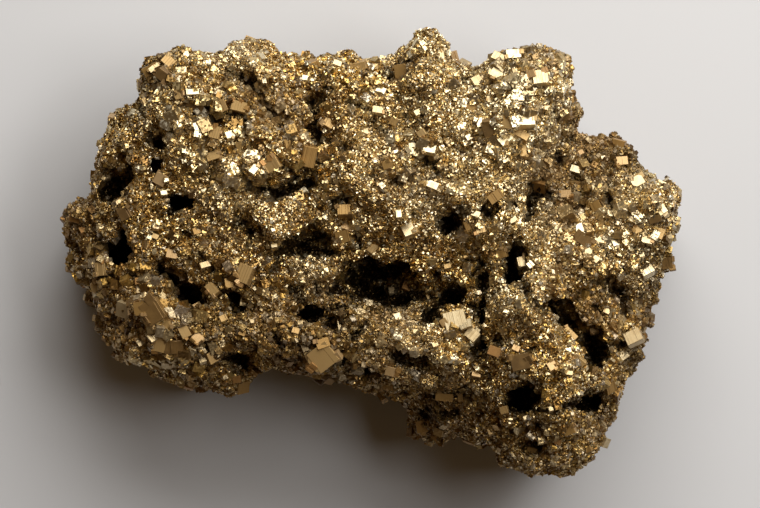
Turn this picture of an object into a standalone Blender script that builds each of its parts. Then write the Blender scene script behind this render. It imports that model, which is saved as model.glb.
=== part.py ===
"""A hand-sized pyrite specimen: one intergrown mass of brassy crystals, about 120 mm long.

The mass is a ragged slab with lobes grown on its front and back. Crevices and vugs run into it,
its back is broken off flat where it left the vein, and the larger cubes are fused to its surface.
It lies on that flat back: +Z is up, +X runs along its length, and the origin is under its middle.
Dimensions are in millimetres until the solid is finished, and then scaled to metres.
"""

import math
import random

import bmesh
import bpy
from mathutils import Euler, Matrix, Vector
from mathutils.bvhtree import BVHTree
from mathutils.geometry import intersect_point_line

NODE_NAME = "pyrite_cluster"
MM = 0.001

# The slab that carries the outline, before the lobes are grown on it
SLAB_LOW = 13.0
SLAB_HIGH = 34.0
SLAB_EDGE_ROUND = 3.0
SLAB_INSET = 0.3
SLAB_GRAIN = 2.0
FRONT_BULGE = 9.0
BACK_BULGE = 9.0
BULGE_REACH = 9.0

# The mass as a whole
MASS_GRAIN = 1.25
SOFTENING_STEPS = 3
CHUNK_SIZE = 10.0
CHUNK_DEPTH = 4.6
NODULE_SIZE = 4.6
NODULE_DEPTH = 2.0
BODY_TRIANGLES = 4900
LOBE_SUBDIVISIONS = 3
CUTTER_SUBDIVISIONS = 3
UNTANGLING_ROUNDS = 40
FOLD_ANGLE = 160.0
BIG_BOX = 400.0

# Broken blocks on the lower sides and the back: angles are from straight down
BLOCKS = 34
BLOCK_SIZES = (7.0, 12.0)
BLOCK_SEED = 5
BLOCK_ANGLES = (14.0, 58.0)
BLOCK_STAND = 0.2

# Cubes round the sides and the back, and how far a cube stands out of the surface
SIDE_CUBES = 84
SIDE_CUBE_SIZES = (2.6, 4.6)
SIDE_CUBE_SEED = 11
SIDE_CUBE_ANGLES = (28.0, 130.0)
CUBE_STAND = 0.42
RAY_START = 150.0
RAY_CENTRE_HEIGHT = 26.0

# The outline seen from above, clockwise from the upper left corner
OUTLINE = [
    (-43.5, 38), (-40.5, 39.5), (-36.5, 40), (-33, 38.5), (-27.5, 38), (-26.5, 40.5),
    (-23.5, 41.5), (-19, 40.5), (-16.5, 39), (-10.5, 38), (-8.5, 39), (-5, 38.5), (-3.5, 37),
    (-1.5, 38), (3.5, 38), (6.5, 40), (9.5, 43), (13, 43.5), (15, 40.5), (17, 36.5), (19, 34.5),
    (21, 37.5), (26, 39), (29, 39.5), (33.5, 40.5), (36.5, 39), (38.5, 35.5), (39.5, 31),
    (40.5, 28), (40, 25), (37.5, 22), (35, 20.5), (38, 20.5), (41, 22.5), (45.5, 23),
    (49.5, 22.5), (51.5, 20), (52, 16.5), (56, 14.5), (59.5, 12.5), (59.5, 8.5), (59, 3.5),
    (57.5, -1.5), (55, -6.5), (54, -11.5), (52.5, -15), (53.5, -20), (52, -23), (48.5, -25),
    (49, -27), (47.5, -30.5), (46, -34.5), (43.5, -38.5), (41, -41.5), (38.5, -43),
    (33.5, -42.5), (28, -43), (25, -40), (22.5, -36.5), (19, -38), (16.5, -36.5),
    (13.5, -35.5), (9.5, -37), (7.5, -34.5), (8, -31.5), (7, -29), (9.5, -26.5),
    (10.5, -24.5), (8, -26), (5.5, -28), (0.5, -27.5), (-4, -25.5), (-8, -24.5), (-12, -24),
    (-16, -23), (-20.5, -23.5), (-23.5, -26), (-27.5, -28), (-31.5, -27), (-36, -26),
    (-40, -24.5), (-42.5, -22), (-48.5, -21), (-51.5, -15.5), (-53.5, -11), (-56.5, -6),
    (-58.5, -1.5), (-60, 4.5), (-59.5, 9), (-55.5, 9), (-53.5, 14), (-53, 20), (-50.5, 25),
    (-49.5, 29), (-46, 29), (-44.5, 31.5), (-45, 34),
]

# Where the slab is bent up or down: x, y, reach, rise
SLAB_BENDS = [
    (29, 29, 13, 7),
    (12, 34, 9, 3),
    (22, 12, 12, 3),
    (52, 4, 17, -6),
    (43, 19, 8, -8),
    (-57, 2, 12, -7),
    (-42, 34, 10, 3),
    (34, -30, 12, 7),
    (12, -33, 7, -7),
    (-42, -22, 12, -4),
]

# Lobes: centre, radii, turn about Z in degrees
LOBES = {
    "upper left shoulder": ((-33, 25.5, 31), (14, 12.5, 15), 0),
    "upper left brow": ((-23, 33, 33), (9, 8, 12), -25),
    "left flank": ((-42.5, 4.5, 26), (14, 16, 13), 10),
    "left spur": ((-55, 1, 20), (5.5, 9.5, 9), 12),
    "lower left belly": ((-35, -12.5, 30), (16, 13.5, 14), 0),
    "left centre nose": ((-19.5, 18, 34), (9, 13, 16), -20),
    "left waist": ((-24, 0, 32), (15, 8, 14), 15),
    "top ridge": ((-5.5, 29, 33), (9, 9.5, 14), 0),
    "summit ridge": ((11.5, 26, 36), (7.5, 17, 15), 4),
    "centre swell": ((3, 13, 35), (16, 12, 15), -8),
    "left band": ((-20, 5, 36), (17, 4.5, 12), -28),
    "left cheek": ((-45, 17, 24), (9, 9, 14), 20),
    "far right brow": ((50, 12, 29), (8, 7, 12), -20),
    "far right ledge": ((41, -3, 30), (6, 7, 12), 0),
    "right lobe": ((29.5, 30.5, 39), (10, 10.5, 14), 0),
    "right lobe crown": ((35, 35.5, 37), (5, 5.5, 11), 0),
    "right lobe foot": ((25, 20, 38), (10, 10, 13), 20),
    "right neck": ((20, 10, 36), (13, 12, 15), 25),
    "band under the vug": ((-7, -16, 34), (22, 8.5, 16), 5),
    "lower centre": ((11, -18, 34), (13, 8.5, 16), -8),
    "lower right head": ((29.5, -11, 43), (8, 9, 15), 0),
    "lower right cheek": ((33, -24, 41), (13, 11, 17), -30),
    "lower right chin": ((34.5, -37, 34), (10, 7, 15), 0),
    "lower right jaw": ((28.5, -39.5, 30), (4.5, 4.5, 10), 0),
    "small lower lobe": ((14.5, -31, 23), (7.5, 6, 11), 0),
    "far right flank": ((47, 2, 24), (12, 20, 14), 8),
    "far right rim": ((54, 8, 31), (5.5, 6.5, 10), 0),
    "far right foot": ((47, -17, 26), (8, 9, 12), 0),
    "far right knob": ((46, 18.5, 19), (6, 4.5, 8), 0),
    "back left": ((-26, 4, 9), (27, 19, 13), 8),
    "back right": ((20, -3, 9), (28, 21, 13), -12),
    "back upper": ((4, 20, 12), (24, 13, 11), 0),
    "back lower right": ((33, -24, 14), (11, 13, 12), 0),
}

# Vugs: centre, radii, tilt about X and turn about Z in degrees
VUGS = {
    "main vug": ((0.8, -6.6, 41), (8, 5.4, 15), 14, -6),
    "main vug side room": ((8, -6.5, 37), (6, 4, 8), 0, 20),
    "upper vug": ((-13, 1.8, 45), (5.4, 3, 10), 20, 10),
    "left eye": ((-37, 10, 38), (3, 2, 9), 10, 0),
    "left deep hole": ((-48.2, 0.5, 30), (2.6, 4, 12), 0, -8),
    "left recess": ((-49, 14, 32), (3.6, 4.4, 9), 0, -20),
    "left top pit": ((-41.2, 21.8, 40), (1.8, 2.8, 9), 0, 15),
    "left small pit": ((-41.2, 16.8, 40), (1.8, 1.5, 8), 0, 0),
    "small window": ((-5.6, 9.6, 48), (2.2, 1.9, 7), 0, 0),
    "waist pit": ((-24.4, 4.8, 45), (2.8, 1.7, 6), 0, -10),
    "waist small pit": ((-25.8, -8.5, 44), (1.8, 1.5, 6), 0, 0),
    "right gully": ((14.6, -10, 43), (5.2, 3, 11), 0, 22),
    "neck hole": ((15, 5.4, 47), (2.2, 3, 8), 0, 0),
    "small neck hole": ((22.3, 8, 49), (2.4, 1.8, 6), 0, 0),
    "mouth left": ((29, -28, 50), (3.2, 3.5, 14), 0, -30),
    "mouth right": ((40.5, -29.3, 44), (5.2, 1.9, 14), 0, 0),
    "chin pit": ((30.8, -37, 47), (2.8, 1.7, 7), 0, 10),
    "far right pit": ((47, -7.5, 38), (2, 1.8, 7), 0, 0),
    "far right small pit": ((40.4, -4.8, 41), (1.6, 1.3, 6), 0, 0),
    "far right low pit": ((50.2, -11.6, 34), (1.7, 1.6, 6), 0, 0),
    "bottom recess": ((-25.2, -21, 39), (4.4, 2.2, 8), -20, 0),
    "underside pit": ((-12, 6, 2), (7, 5, 6), 0, 0),
    "underside pit right": ((27, 9, 2), (5, 6, 6), 0, 20),
}

# Crevices open to the front: half width and the line of their bottoms
CREVICE_HEIGHT = 13.0
CREVICES = {
    "behind the right lobe": (2.1, [(40, 22, 25), (36, 18, 28), (32, 10, 33), (29.5, 5, 36)]),
    "above the head": (2.2, [(28.3, 1, 30), (28, -4, 28), (31, -8, 29), (34, -10, 31)]),
    "beside the head": (2.4, [(34, -10, 33), (38.5, -13, 29), (42, -16, 29), (43.5, -19, 27),
                              (43, -22, 30)]),
    "left of the head": (1.8, [(21.8, -6, 36), (21, -11, 35), (20.8, -15, 38), (21, -20, 44)]),
    "beside the left nose": (1.8, [(-10.9, 31, 38), (-11.3, 25, 35), (-13.2, 21.5, 36)]),
    "under the left nose": (1.8, [(-12, 12.6, 38), (-18, 12, 39), (-23.5, 13.6, 40), (-28, 17, 42)]),
    "left of the nose": (1.8, [(-26.2, 34.8, 37), (-23.6, 32.6, 36), (-20.9, 29.5, 38),
                               (-17.5, 25.5, 40)]),
    "under the brow": (1.7, [(-35.5, 27.8, 38), (-30, 26.8, 37), (-25, 25.6, 40)]),
    "across the waist": (1.7, [(-18, -11, 39), (-12, -12.6, 36), (-6.5, -13, 40)]),
    "left gully": (2.1, [(-40, -3.6, 31), (-36.8, -7.2, 31), (-32, -9.6, 33)]),
    "below the summit": (1.5, [(7, 31, 43), (6.4, 25, 41), (8, 20, 43)]),
    "below the band": (1.6, [(2, -20.5, 43), (8, -22.5, 39), (14, -23.5, 37)]),
}

# Crevices open to a side: half width and their line
SIDE_CREVICES = {
    "left step": (1.8, [(-60, 0, 17), (-52, -15, 14), (-44, -24, 15), (-34, -28, 18)]),
    "left upper step": (1.6, [(-60, 9, 27), (-55, 17, 29), (-51, 28, 28)]),
    "right step": (1.8, [(61, 6, 17), (56, -8, 15), (54, -20, 16)]),
    "top step": (1.7, [(-30, 41, 21), (-18, 42, 24), (-8, 40, 22), (2, 40, 20)]),
    "bottom step": (1.8, [(-24, -27, 24), (-10, -26, 20), (2, -28, 22)]),
    "lobe step": (1.7, [(26, -45, 22), (36, -46, 25), (44, -42, 22)]),
}

# Larger cubes on the front: x, y, edge, turn in degrees, tilt off level and the way it leans
FRONT_CUBES = [
    (8.6, 20.1, 2.8, 8, 22, 88), (11.4, 20.4, 2.9, -12, 20, 96),
    (16.1, -12.9, 4.6, 18, 21, 82), (19.5, -15.6, 3.5, -28, 23, 98),
    (-9.4, -20.3, 5.2, 38, 9, 250), (40.6, 4.7, 3.0, 6, 22, 90), (41.1, 2.6, 3.4, -35, 12, 300),
    (27.5, 38.3, 3.3, 4, 20, 92), (25.2, 37.4, 2.8, -18, 26, 100), (32.6, 33.8, 3.6, 8, 21, 90),
    (30, 25.5, 3.4, 2, 22, 86), (26.2, 25.1, 3.4, -10, 7, 200), (23.3, 23.6, 3.6, 18, 18, 280),
    (25.9, 21.9, 3.2, 40, 22, 94), (28.8, 22.9, 3.3, -24, 24, 80), (21.1, 25.1, 2.6, 12, 22, 92),
    (20.7, 33.4, 2.8, 30, 24, 96), (24.3, 34.4, 2.8, -30, 21, 84), (29.3, 19.7, 2.6, 4, 22, 90),
    (-42.1, -11.4, 4.6, 32, 14, 190), (-44.6, -10.8, 3.0, 10, 16, 160),
    (-42, -16.3, 2.6, 36, 22, 90), (-40.7, -17.7, 3.2, -12, 12, 220), (-38, -18.3, 3.8, 5, 15, 270),
    (-35.9, -15.2, 2.7, 28, 18, 80), (-33.4, -16.4, 2.7, 44, 20, 100),
    (-24.5, -4, 3.6, -22, 17, 110), (-27.1, -5.8, 3.0, 8, 14, 30), (-30.6, -7, 2.8, 40, 20, 140),
    (-52.4, -3.2, 2.8, 5, 20, 180), (-47.6, 7.5, 2.8, 30, 16, 200),
    (-34.3, 31, 3.0, 3, 21, 92), (-36.9, 30.5, 2.8, 14, 8, 150), (-33.7, 29, 3.8, -20, 15, 250),
    (-40.1, 34, 3.2, -35, 18, 210), (-41.9, 35.8, 2.7, 40, 22, 95), (-35.7, 38.2, 2.6, 10, 20, 90),
    (-25.4, 28.2, 3.0, -14, 16, 60), (-28.9, 28.1, 2.9, 26, 9, 240), (-27.1, 22.8, 2.7, 22, 21, 90),
    (-11.9, 18.4, 4.0, -12, 14, 40), (-19.1, 16.9, 3.2, 30, 12, 200), (-22.4, 16, 2.7, -36, 22, 88),
    (-30.4, 18.7, 3.0, 18, 12, 120), (5.9, 34.9, 3.4, 8, 12, 170), (2, 31.4, 2.6, -26, 22, 92),
    (-2.7, 35.8, 3.2, -6, 14, 250), (1.4, 27.6, 2.6, -8, 21, 90), (3.2, 16.9, 2.6, 20, 12, 300),
    (9.7, 22.9, 2.6, 35, 12, 180), (7.2, 4.6, 2.9, 24, 21, 92), (5.4, 7.5, 2.5, 6, 22, 90),
    (-5.5, 3, 3.6, 14, 16, 60), (-5.2, 8.3, 2.9, 3, 18, 95), (11.9, 13.1, 2.8, -24, 22, 90),
    (28.6, -21, 3.2, 12, 9, 200), (24.2, -19.1, 3.0, -20, 14, 140), (34.8, -21.6, 2.6, 30, 20, 95),
    (4, -23, 2.8, -14, 12, 240), (-5.5, -13.8, 2.7, 8, 16, 80), (5.3, -12.5, 2.5, 22, 21, 92),
    (50.7, -16.2, 3.4, 24, 22, 94), (53.4, 2.5, 2.8, -12, 20, 86), (48.6, 17.8, 3.4, 5, 16, 60),
    (51.5, 13.9, 3.2, 30, 21, 92), (39.7, 16.2, 2.8, -18, 21, 92), (37.7, 11.4, 3.0, 2, 14, 120),
    (43.5, 9, 2.7, 28, 12, 200), (57.4, -2.1, 2.8, 12, 16, 40), (19.4, -36, 2.7, -22, 16, 120),
    (38, -34, 3.0, 20, 14, 210), (31, -38.5, 2.8, -14, 14, 250),
]


def clear_scene():
    for existing in list(bpy.data.objects):
        bpy.data.objects.remove(existing)


def link_new(name, mesh, collection):
    made = bpy.data.objects.new(name, mesh)
    collection.objects.link(made)
    return made


def evaluated_mesh(source):
    """The object's mesh with its modifiers applied, in its own coordinates."""
    graph = bpy.context.evaluated_depsgraph_get()
    return bpy.data.meshes.new_from_object(source.evaluated_get(graph))


def bake_modifiers(target):
    """Replaces the object's mesh by what its modifiers make of it."""
    finished = evaluated_mesh(target)
    target.modifiers.clear()
    target.data = finished


def triangle_count(mesh):
    return sum(len(face.vertices) - 2 for face in mesh.polygons)


def remesh(target, grain, softening=0):
    """One closed skin over everything in the object, in cells of the given size."""
    voxels = target.modifiers.new("one skin", "REMESH")
    voxels.mode = "VOXEL"
    voxels.voxel_size = grain
    if softening:
        soften = target.modifiers.new("soften", "SMOOTH")
        soften.iterations = softening
        soften.factor = 0.5
    bake_modifiers(target)


def distance_to_outline(place):
    point = Vector(place[:2])
    nearest = math.inf
    for start, end in zip(OUTLINE, OUTLINE[1:] + OUTLINE[:1]):
        foot, share = intersect_point_line(point, Vector(start), Vector(end))
        foot = Vector(start).lerp(Vector(end), min(max(share, 0), 1))
        nearest = min(nearest, (point - foot).length)
    return nearest


def make_slab(collection):
    """The outline as a filled curve with a rounded edge, bulged in the middle and bent."""
    curve = bpy.data.curves.new("slab", "CURVE")
    curve.dimensions = "2D"
    curve.fill_mode = "BOTH"
    curve.extrude = (SLAB_HIGH - SLAB_LOW) / 2 - SLAB_EDGE_ROUND
    curve.bevel_depth = SLAB_EDGE_ROUND
    curve.bevel_resolution = 2
    curve.offset = -SLAB_EDGE_ROUND - SLAB_INSET
    spline = curve.splines.new("POLY")
    spline.points.add(len(OUTLINE) - 1)
    for point, (x, y) in zip(spline.points, OUTLINE):
        point.co = (x, y, 0, 1)
    spline.use_cyclic_u = True
    outline = bpy.data.objects.new("slab outline", curve)
    collection.objects.link(outline)
    mesh = evaluated_mesh(outline)
    bpy.data.objects.remove(outline)
    slab = link_new("slab", mesh, collection)
    slab.data.transform(Matrix.Translation((0, 0, (SLAB_LOW + SLAB_HIGH) / 2)))
    remesh(slab, SLAB_GRAIN)
    for vertex in slab.data.vertices:
        inward = 1 - math.exp(-distance_to_outline(vertex.co) / BULGE_REACH)
        if vertex.co.z > (SLAB_LOW + SLAB_HIGH) / 2:
            vertex.co.z += FRONT_BULGE * inward
        else:
            vertex.co.z -= BACK_BULGE * inward
        for x, y, reach, rise in SLAB_BENDS:
            distance = math.hypot(vertex.co.x - x, vertex.co.y - y)
            vertex.co.z += rise * math.exp(-((distance / reach) ** 2))
    return slab


def add_ellipsoid(shape, centre, radii, tilt, turn, subdivisions):
    place = (
        Matrix.Translation(centre)
        @ Matrix.Rotation(math.radians(turn), 4, "Z")
        @ Matrix.Rotation(math.radians(tilt), 4, "X")
        @ Matrix.Diagonal((*radii, 1))
    )
    bmesh.ops.create_icosphere(shape, subdivisions=subdivisions, radius=1, matrix=place)


def grow_mass(slab):
    """The slab and its lobes as one softened skin."""
    shape = bmesh.new()
    shape.from_mesh(slab.data)
    for centre, radii, turn in LOBES.values():
        add_ellipsoid(shape, centre, radii, 0, turn, LOBE_SUBDIVISIONS)
    shape.to_mesh(slab.data)
    shape.free()
    remesh(slab, MASS_GRAIN, SOFTENING_STEPS)
    return slab


def make_vug_cutters(collection):
    shape = bmesh.new()
    for centre, radii, tilt, turn in VUGS.values():
        add_ellipsoid(shape, centre, radii, tilt, turn, CUTTER_SUBDIVISIONS)
    mesh = bpy.data.meshes.new("vugs")
    shape.to_mesh(mesh)
    shape.free()
    return link_new("vugs", mesh, collection)


def add_crevice(shape, half_width, line, half_height):
    """A row of overlapping ellipsoids that stand on the line of the crevice's bottom."""
    for start, end in zip(line, line[1:]):
        start, end = Vector(start), Vector(end)
        steps = max(2, math.ceil((end - start).length / half_width))
        for step in range(steps + 1):
            bottom = start.lerp(end, step / steps)
            middle = bottom + Vector((0, 0, half_height))
            add_ellipsoid(shape, middle, (half_width, half_width, half_height), 0, 0, 2)


def make_crevice_cutters(collection):
    shape = bmesh.new()
    for half_width, line in CREVICES.values():
        add_crevice(shape, half_width, line, CREVICE_HEIGHT)
    for half_width, line in SIDE_CREVICES.values():
        add_crevice(shape, half_width, line, half_width)
    mesh = bpy.data.meshes.new("crevices")
    shape.to_mesh(mesh)
    shape.free()
    cutter = link_new("crevices", mesh, collection)
    remesh(cutter, MASS_GRAIN / 2)
    return cutter


def cut(target, cutter, use_self=False):
    taken = target.modifiers.new("cut", "BOOLEAN")
    taken.operation = "DIFFERENCE"
    taken.solver = "EXACT"
    taken.use_self = use_self
    taken.object = cutter
    bake_modifiers(target)


def rough_texture(name, kind, size):
    texture = bpy.data.textures.new(name, kind)
    texture.noise_scale = size
    return texture


def roughen(target):
    """Chunks and nodules, raised and sunk about the softened skin."""
    chunks = rough_texture("chunks", "CLOUDS", CHUNK_SIZE)
    chunks.noise_basis = "VORONOI_F2_F1"
    chunks.noise_depth = 1
    nodules = rough_texture("nodules", "VORONOI", NODULE_SIZE)
    nodules.distance_metric = "DISTANCE_SQUARED"
    for texture, depth in ((chunks, CHUNK_DEPTH), (nodules, -NODULE_DEPTH)):
        rough = target.modifiers.new(texture.name, "DISPLACE")
        rough.texture = texture
        rough.texture_coords = "LOCAL"
        rough.mid_level = 0.4
        rough.strength = depth
    bake_modifiers(target)
    remesh(target, MASS_GRAIN)


def keep_largest_body(target):
    """Drops loose crumbs and sealed bubbles, which are the smaller separate surfaces."""
    shape = bmesh.new()
    shape.from_mesh(target.data)
    unseen = set(shape.verts)
    bodies = []
    while unseen:
        body = {unseen.pop()}
        edge_of_search = list(body)
        while edge_of_search:
            vertex = edge_of_search.pop()
            for edge in vertex.link_edges:
                other = edge.other_vert(vertex)
                if other in unseen:
                    unseen.remove(other)
                    body.add(other)
                    edge_of_search.append(other)
        bodies.append(body)
    bodies.sort(key=len)
    for body in bodies[:-1]:
        bmesh.ops.delete(shape, geom=list(body), context="VERTS")
    shape.to_mesh(target.data)
    shape.free()


def thin_out(target, triangles):
    fewer = target.modifiers.new("fewer faces", "DECIMATE")
    fewer.ratio = triangles / triangle_count(target.data)
    bake_modifiers(target)


def untangle(target):
    """Relaxes the places where faces cross or fold on one another, until none do."""
    shape = bmesh.new()
    shape.from_mesh(target.data)
    for _ in range(UNTANGLING_ROUNDS):
        shape.faces.ensure_lookup_table()
        surface = BVHTree.FromBMesh(shape)
        crossed = set()
        for one, other in surface.overlap(surface):
            crossed.update(shape.faces[one].verts)
        for edge in shape.edges:
            if edge.calc_face_angle() > math.radians(FOLD_ANGLE):
                crossed.update(edge.verts)
        if not crossed:
            break
        bmesh.ops.smooth_vert(
            shape, verts=list(crossed), factor=0.5, use_axis_x=True, use_axis_y=True, use_axis_z=True
        )
    shape.to_mesh(target.data)
    shape.free()


def cube_turn(turn, tilt, lean):
    """A cube turned about its upright, then tilted towards the compass angle lean."""
    axis = Vector((-math.sin(math.radians(lean)), math.cos(math.radians(lean)), 0))
    return Matrix.Rotation(math.radians(tilt), 3, axis) @ Matrix.Rotation(
        math.radians(turn), 3, "Z"
    )


def cube_reach(rotation, edge, outward):
    """How far a cube's surface is from its centre along a direction."""
    return edge / 2 / max(abs(rotation.col[i].dot(outward)) for i in range(3))


def spread_rays(count, sizes, angles, seed):
    """Lines to the surface from all round, between two angles from straight down.

    Each is a start, the way out, a cube's edge and its rotation.
    """
    chance = random.Random(seed)
    golden_turn = math.pi * (3 - math.sqrt(5))
    lowest = -math.cos(math.radians(angles[0]))
    highest = -math.cos(math.radians(angles[1]))
    for i in range(count):
        rise = lowest + (highest - lowest) * (i + 0.5) / count
        level = math.sqrt(1 - rise * rise)
        outward = Vector((level * math.cos(golden_turn * i), level * math.sin(golden_turn * i), rise))
        edge = chance.uniform(*sizes)
        rotation = Euler([chance.uniform(0, math.pi / 2) for _ in range(3)]).to_matrix()
        start = Vector((0, 0, RAY_CENTRE_HEIGHT)) + outward * RAY_START
        yield start, outward, edge, rotation


def front_rays():
    for x, y, edge, turn, tilt, lean in FRONT_CUBES:
        yield Vector((x, y, RAY_START)), Vector((0, 0, 1)), edge, cube_turn(turn, tilt, lean)


def add_sunk_cubes(shape, body, rays, stand):
    """Cubes at the surface, with the given share of their edge standing out of it."""
    surface = BVHTree.FromObject(body, bpy.context.evaluated_depsgraph_get())
    for start, outward, edge, rotation in rays:
        hit = surface.ray_cast(start, -outward)[0]
        if hit is None:
            continue
        centre = hit + outward * (stand * edge - cube_reach(rotation, edge, outward))
        place = Matrix.Translation(centre) @ rotation.to_4x4()
        bmesh.ops.create_cube(shape, size=edge, matrix=place)


def grow_blocks(body):
    shape = bmesh.new()
    shape.from_mesh(body.data)
    rays = spread_rays(BLOCKS, BLOCK_SIZES, BLOCK_ANGLES, BLOCK_SEED)
    add_sunk_cubes(shape, body, rays, BLOCK_STAND)
    shape.to_mesh(body.data)
    shape.free()
    remesh(body, MASS_GRAIN)


def make_cubes(body, collection):
    shape = bmesh.new()
    add_sunk_cubes(shape, body, front_rays(), CUBE_STAND)
    side_rays = spread_rays(SIDE_CUBES, SIDE_CUBE_SIZES, SIDE_CUBE_ANGLES, SIDE_CUBE_SEED)
    add_sunk_cubes(shape, body, side_rays, CUBE_STAND)
    mesh = bpy.data.meshes.new("cubes")
    shape.to_mesh(mesh)
    shape.free()
    return link_new("cubes", mesh, collection)


def fuse(target, grown):
    joined = target.modifiers.new("grown together", "BOOLEAN")
    joined.operation = "UNION"
    joined.solver = "EXACT"
    joined.use_self = True
    joined.object = grown
    bake_modifiers(target)


def make_base_cutter(collection):
    shape = bmesh.new()
    bmesh.ops.create_cube(
        shape, size=BIG_BOX, matrix=Matrix.Translation((0, 0, -BIG_BOX / 2))
    )
    mesh = bpy.data.meshes.new("below the base")
    shape.to_mesh(mesh)
    shape.free()
    return link_new("below the base", mesh, collection)


def centre_and_scale(target):
    """Puts the middle of the solid's footprint on the origin, and turns millimetres into metres."""
    low = [min(vertex.co[i] for vertex in target.data.vertices) for i in range(3)]
    high = [max(vertex.co[i] for vertex in target.data.vertices) for i in range(3)]
    middle = Vector(((low[0] + high[0]) / 2, (low[1] + high[1]) / 2, low[2]))
    target.data.transform(Matrix.Scale(MM, 4) @ Matrix.Translation(-middle))


def make_pyrite_material():
    material = bpy.data.materials.new("pyrite")
    material.use_nodes = True
    surface = material.node_tree.nodes["Principled BSDF"]
    surface.inputs["Base Color"].default_value = (0.62, 0.47, 0.24, 1)
    surface.inputs["Metallic"].default_value = 1.0
    surface.inputs["Roughness"].default_value = 0.32
    return material


def main():
    clear_scene()
    specimen = bpy.data.collections.new("pyrite specimen")
    helpers = bpy.data.collections.new("cutters")
    for collection in (specimen, helpers):
        bpy.context.scene.collection.children.link(collection)

    body = grow_mass(make_slab(specimen))
    grow_blocks(body)
    cut(body, make_vug_cutters(helpers), use_self=True)
    cut(body, make_crevice_cutters(helpers))
    keep_largest_body(body)
    roughen(body)
    keep_largest_body(body)
    thin_out(body, BODY_TRIANGLES)
    untangle(body)
    fuse(body, make_cubes(body, helpers))
    cut(body, make_base_cutter(helpers))
    keep_largest_body(body)
    centre_and_scale(body)

    body.name = NODE_NAME
    body.data.name = NODE_NAME
    body.data.materials.clear()
    body.data.materials.append(make_pyrite_material())
    for helper in list(helpers.objects):
        bpy.data.objects.remove(helper)
    bpy.data.collections.remove(helpers)


main()
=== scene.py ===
import math
import random

import bmesh
import bpy
import numpy as np
from mathutils import Euler, Matrix, Vector, noise
from mathutils.bvhtree import BVHTree
from mathutils.kdtree import KDTree


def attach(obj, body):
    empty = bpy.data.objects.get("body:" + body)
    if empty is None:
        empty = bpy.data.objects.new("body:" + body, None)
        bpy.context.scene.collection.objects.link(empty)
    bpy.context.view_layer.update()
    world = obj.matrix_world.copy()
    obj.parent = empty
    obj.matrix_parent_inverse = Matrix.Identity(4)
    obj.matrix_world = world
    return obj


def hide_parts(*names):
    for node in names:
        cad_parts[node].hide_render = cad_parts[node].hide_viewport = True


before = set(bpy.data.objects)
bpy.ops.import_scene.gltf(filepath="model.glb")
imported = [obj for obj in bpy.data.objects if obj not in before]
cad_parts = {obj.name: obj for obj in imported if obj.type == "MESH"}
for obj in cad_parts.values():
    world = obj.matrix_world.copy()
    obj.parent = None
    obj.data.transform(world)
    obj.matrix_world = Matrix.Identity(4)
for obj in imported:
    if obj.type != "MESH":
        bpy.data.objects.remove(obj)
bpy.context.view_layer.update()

mm = 0.001
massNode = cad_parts["pyrite_cluster"]


# Meshes and objects

def linkObject(name, data):
    made = bpy.data.objects.new(name, data)
    bpy.context.scene.collection.objects.link(made)
    return made


def meshFrom(shape, name):
    mesh = bpy.data.meshes.new(name)
    shape.to_mesh(mesh)
    shape.free()
    return mesh


def bakeModifiers(target):
    graph = bpy.context.evaluated_depsgraph_get()
    finished = bpy.data.meshes.new_from_object(target.evaluated_get(graph))
    target.modifiers.clear()
    target.data = finished


def remesh(target, grain):
    voxels = target.modifiers.new("even grain", "REMESH")
    voxels.mode = "VOXEL"
    voxels.voxel_size = grain
    bakeModifiers(target)


def readVectors(items, name="co"):
    found = np.empty(len(items) * 3)
    items.foreach_get(name, found)
    return found.reshape(-1, 3)


def movePoints(mesh, points):
    mesh.vertices.foreach_set("co", points.ravel())
    mesh.update()


def writeAttribute(mesh, name, values):
    layer = mesh.attributes.get(name) or mesh.attributes.new(name, "FLOAT", "POINT")
    layer.data.foreach_set("value", np.asarray(values, dtype=np.float32))


def countTriangles(mesh):
    return sum(len(face.vertices) - 2 for face in mesh.polygons)


# Node trees

def putIn(tree, node, socket, value):
    entry = node.inputs[socket]
    if isinstance(value, bpy.types.NodeSocket):
        tree.links.new(value, entry)
    else:
        entry.default_value = value


def addNode(tree, kind, given=None, **settings):
    node = tree.nodes.new(kind)
    for name, value in settings.items():
        setattr(node, name, value)
    for socket, value in (given or {}).items():
        putIn(tree, node, socket, value)
    return node


def mathNode(tree, operation, *values, clamp=False):
    given = dict(enumerate(values))
    return addNode(tree, "ShaderNodeMath", given, operation=operation, use_clamp=clamp).outputs[0]


def vectorNode(tree, operation, given):
    return addNode(tree, "ShaderNodeVectorMath", given, operation=operation).outputs[0]


def product(tree, first, *others):
    for other in others:
        first = mathNode(tree, "MULTIPLY", first, other)
    return first


def sloped(tree, value, slope, start, clamp=False):
    return mathNode(tree, "MULTIPLY_ADD", value, slope, start, clamp=clamp)


def splitParts(tree, vector):
    return addNode(tree, "ShaderNodeSeparateXYZ", {0: vector}).outputs


def namedValue(tree, name):
    return addNode(tree, "GeometryNodeInputNamedAttribute", {0: name}, data_type="FLOAT").outputs[0]


def openTree(name, labels):
    tree = bpy.data.node_groups.new(name, "GeometryNodeTree")
    tree.interface.new_socket("Geometry", in_out="INPUT", socket_type="NodeSocketGeometry")
    for label in labels:
        kind = "NodeSocketInt" if label == "Seed" else "NodeSocketFloat"
        tree.interface.new_socket(label, in_out="INPUT", socket_type=kind)
    tree.interface.new_socket("Geometry", in_out="OUTPUT", socket_type="NodeSocketGeometry")
    return tree, addNode(tree, "NodeGroupInput").outputs, addNode(tree, "NodeGroupOutput")


def runTree(target, tree, values):
    grow = target.modifiers.new(tree.name, "NODES")
    grow.node_group = tree
    for item in tree.interface.items_tree:
        if item.in_out == "INPUT" and item.name in values:
            grow[item.identifier] = values[item.name]
    bakeModifiers(target)


# Patches of the surface: x, y and reach in mm, then how strong each one is

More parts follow.
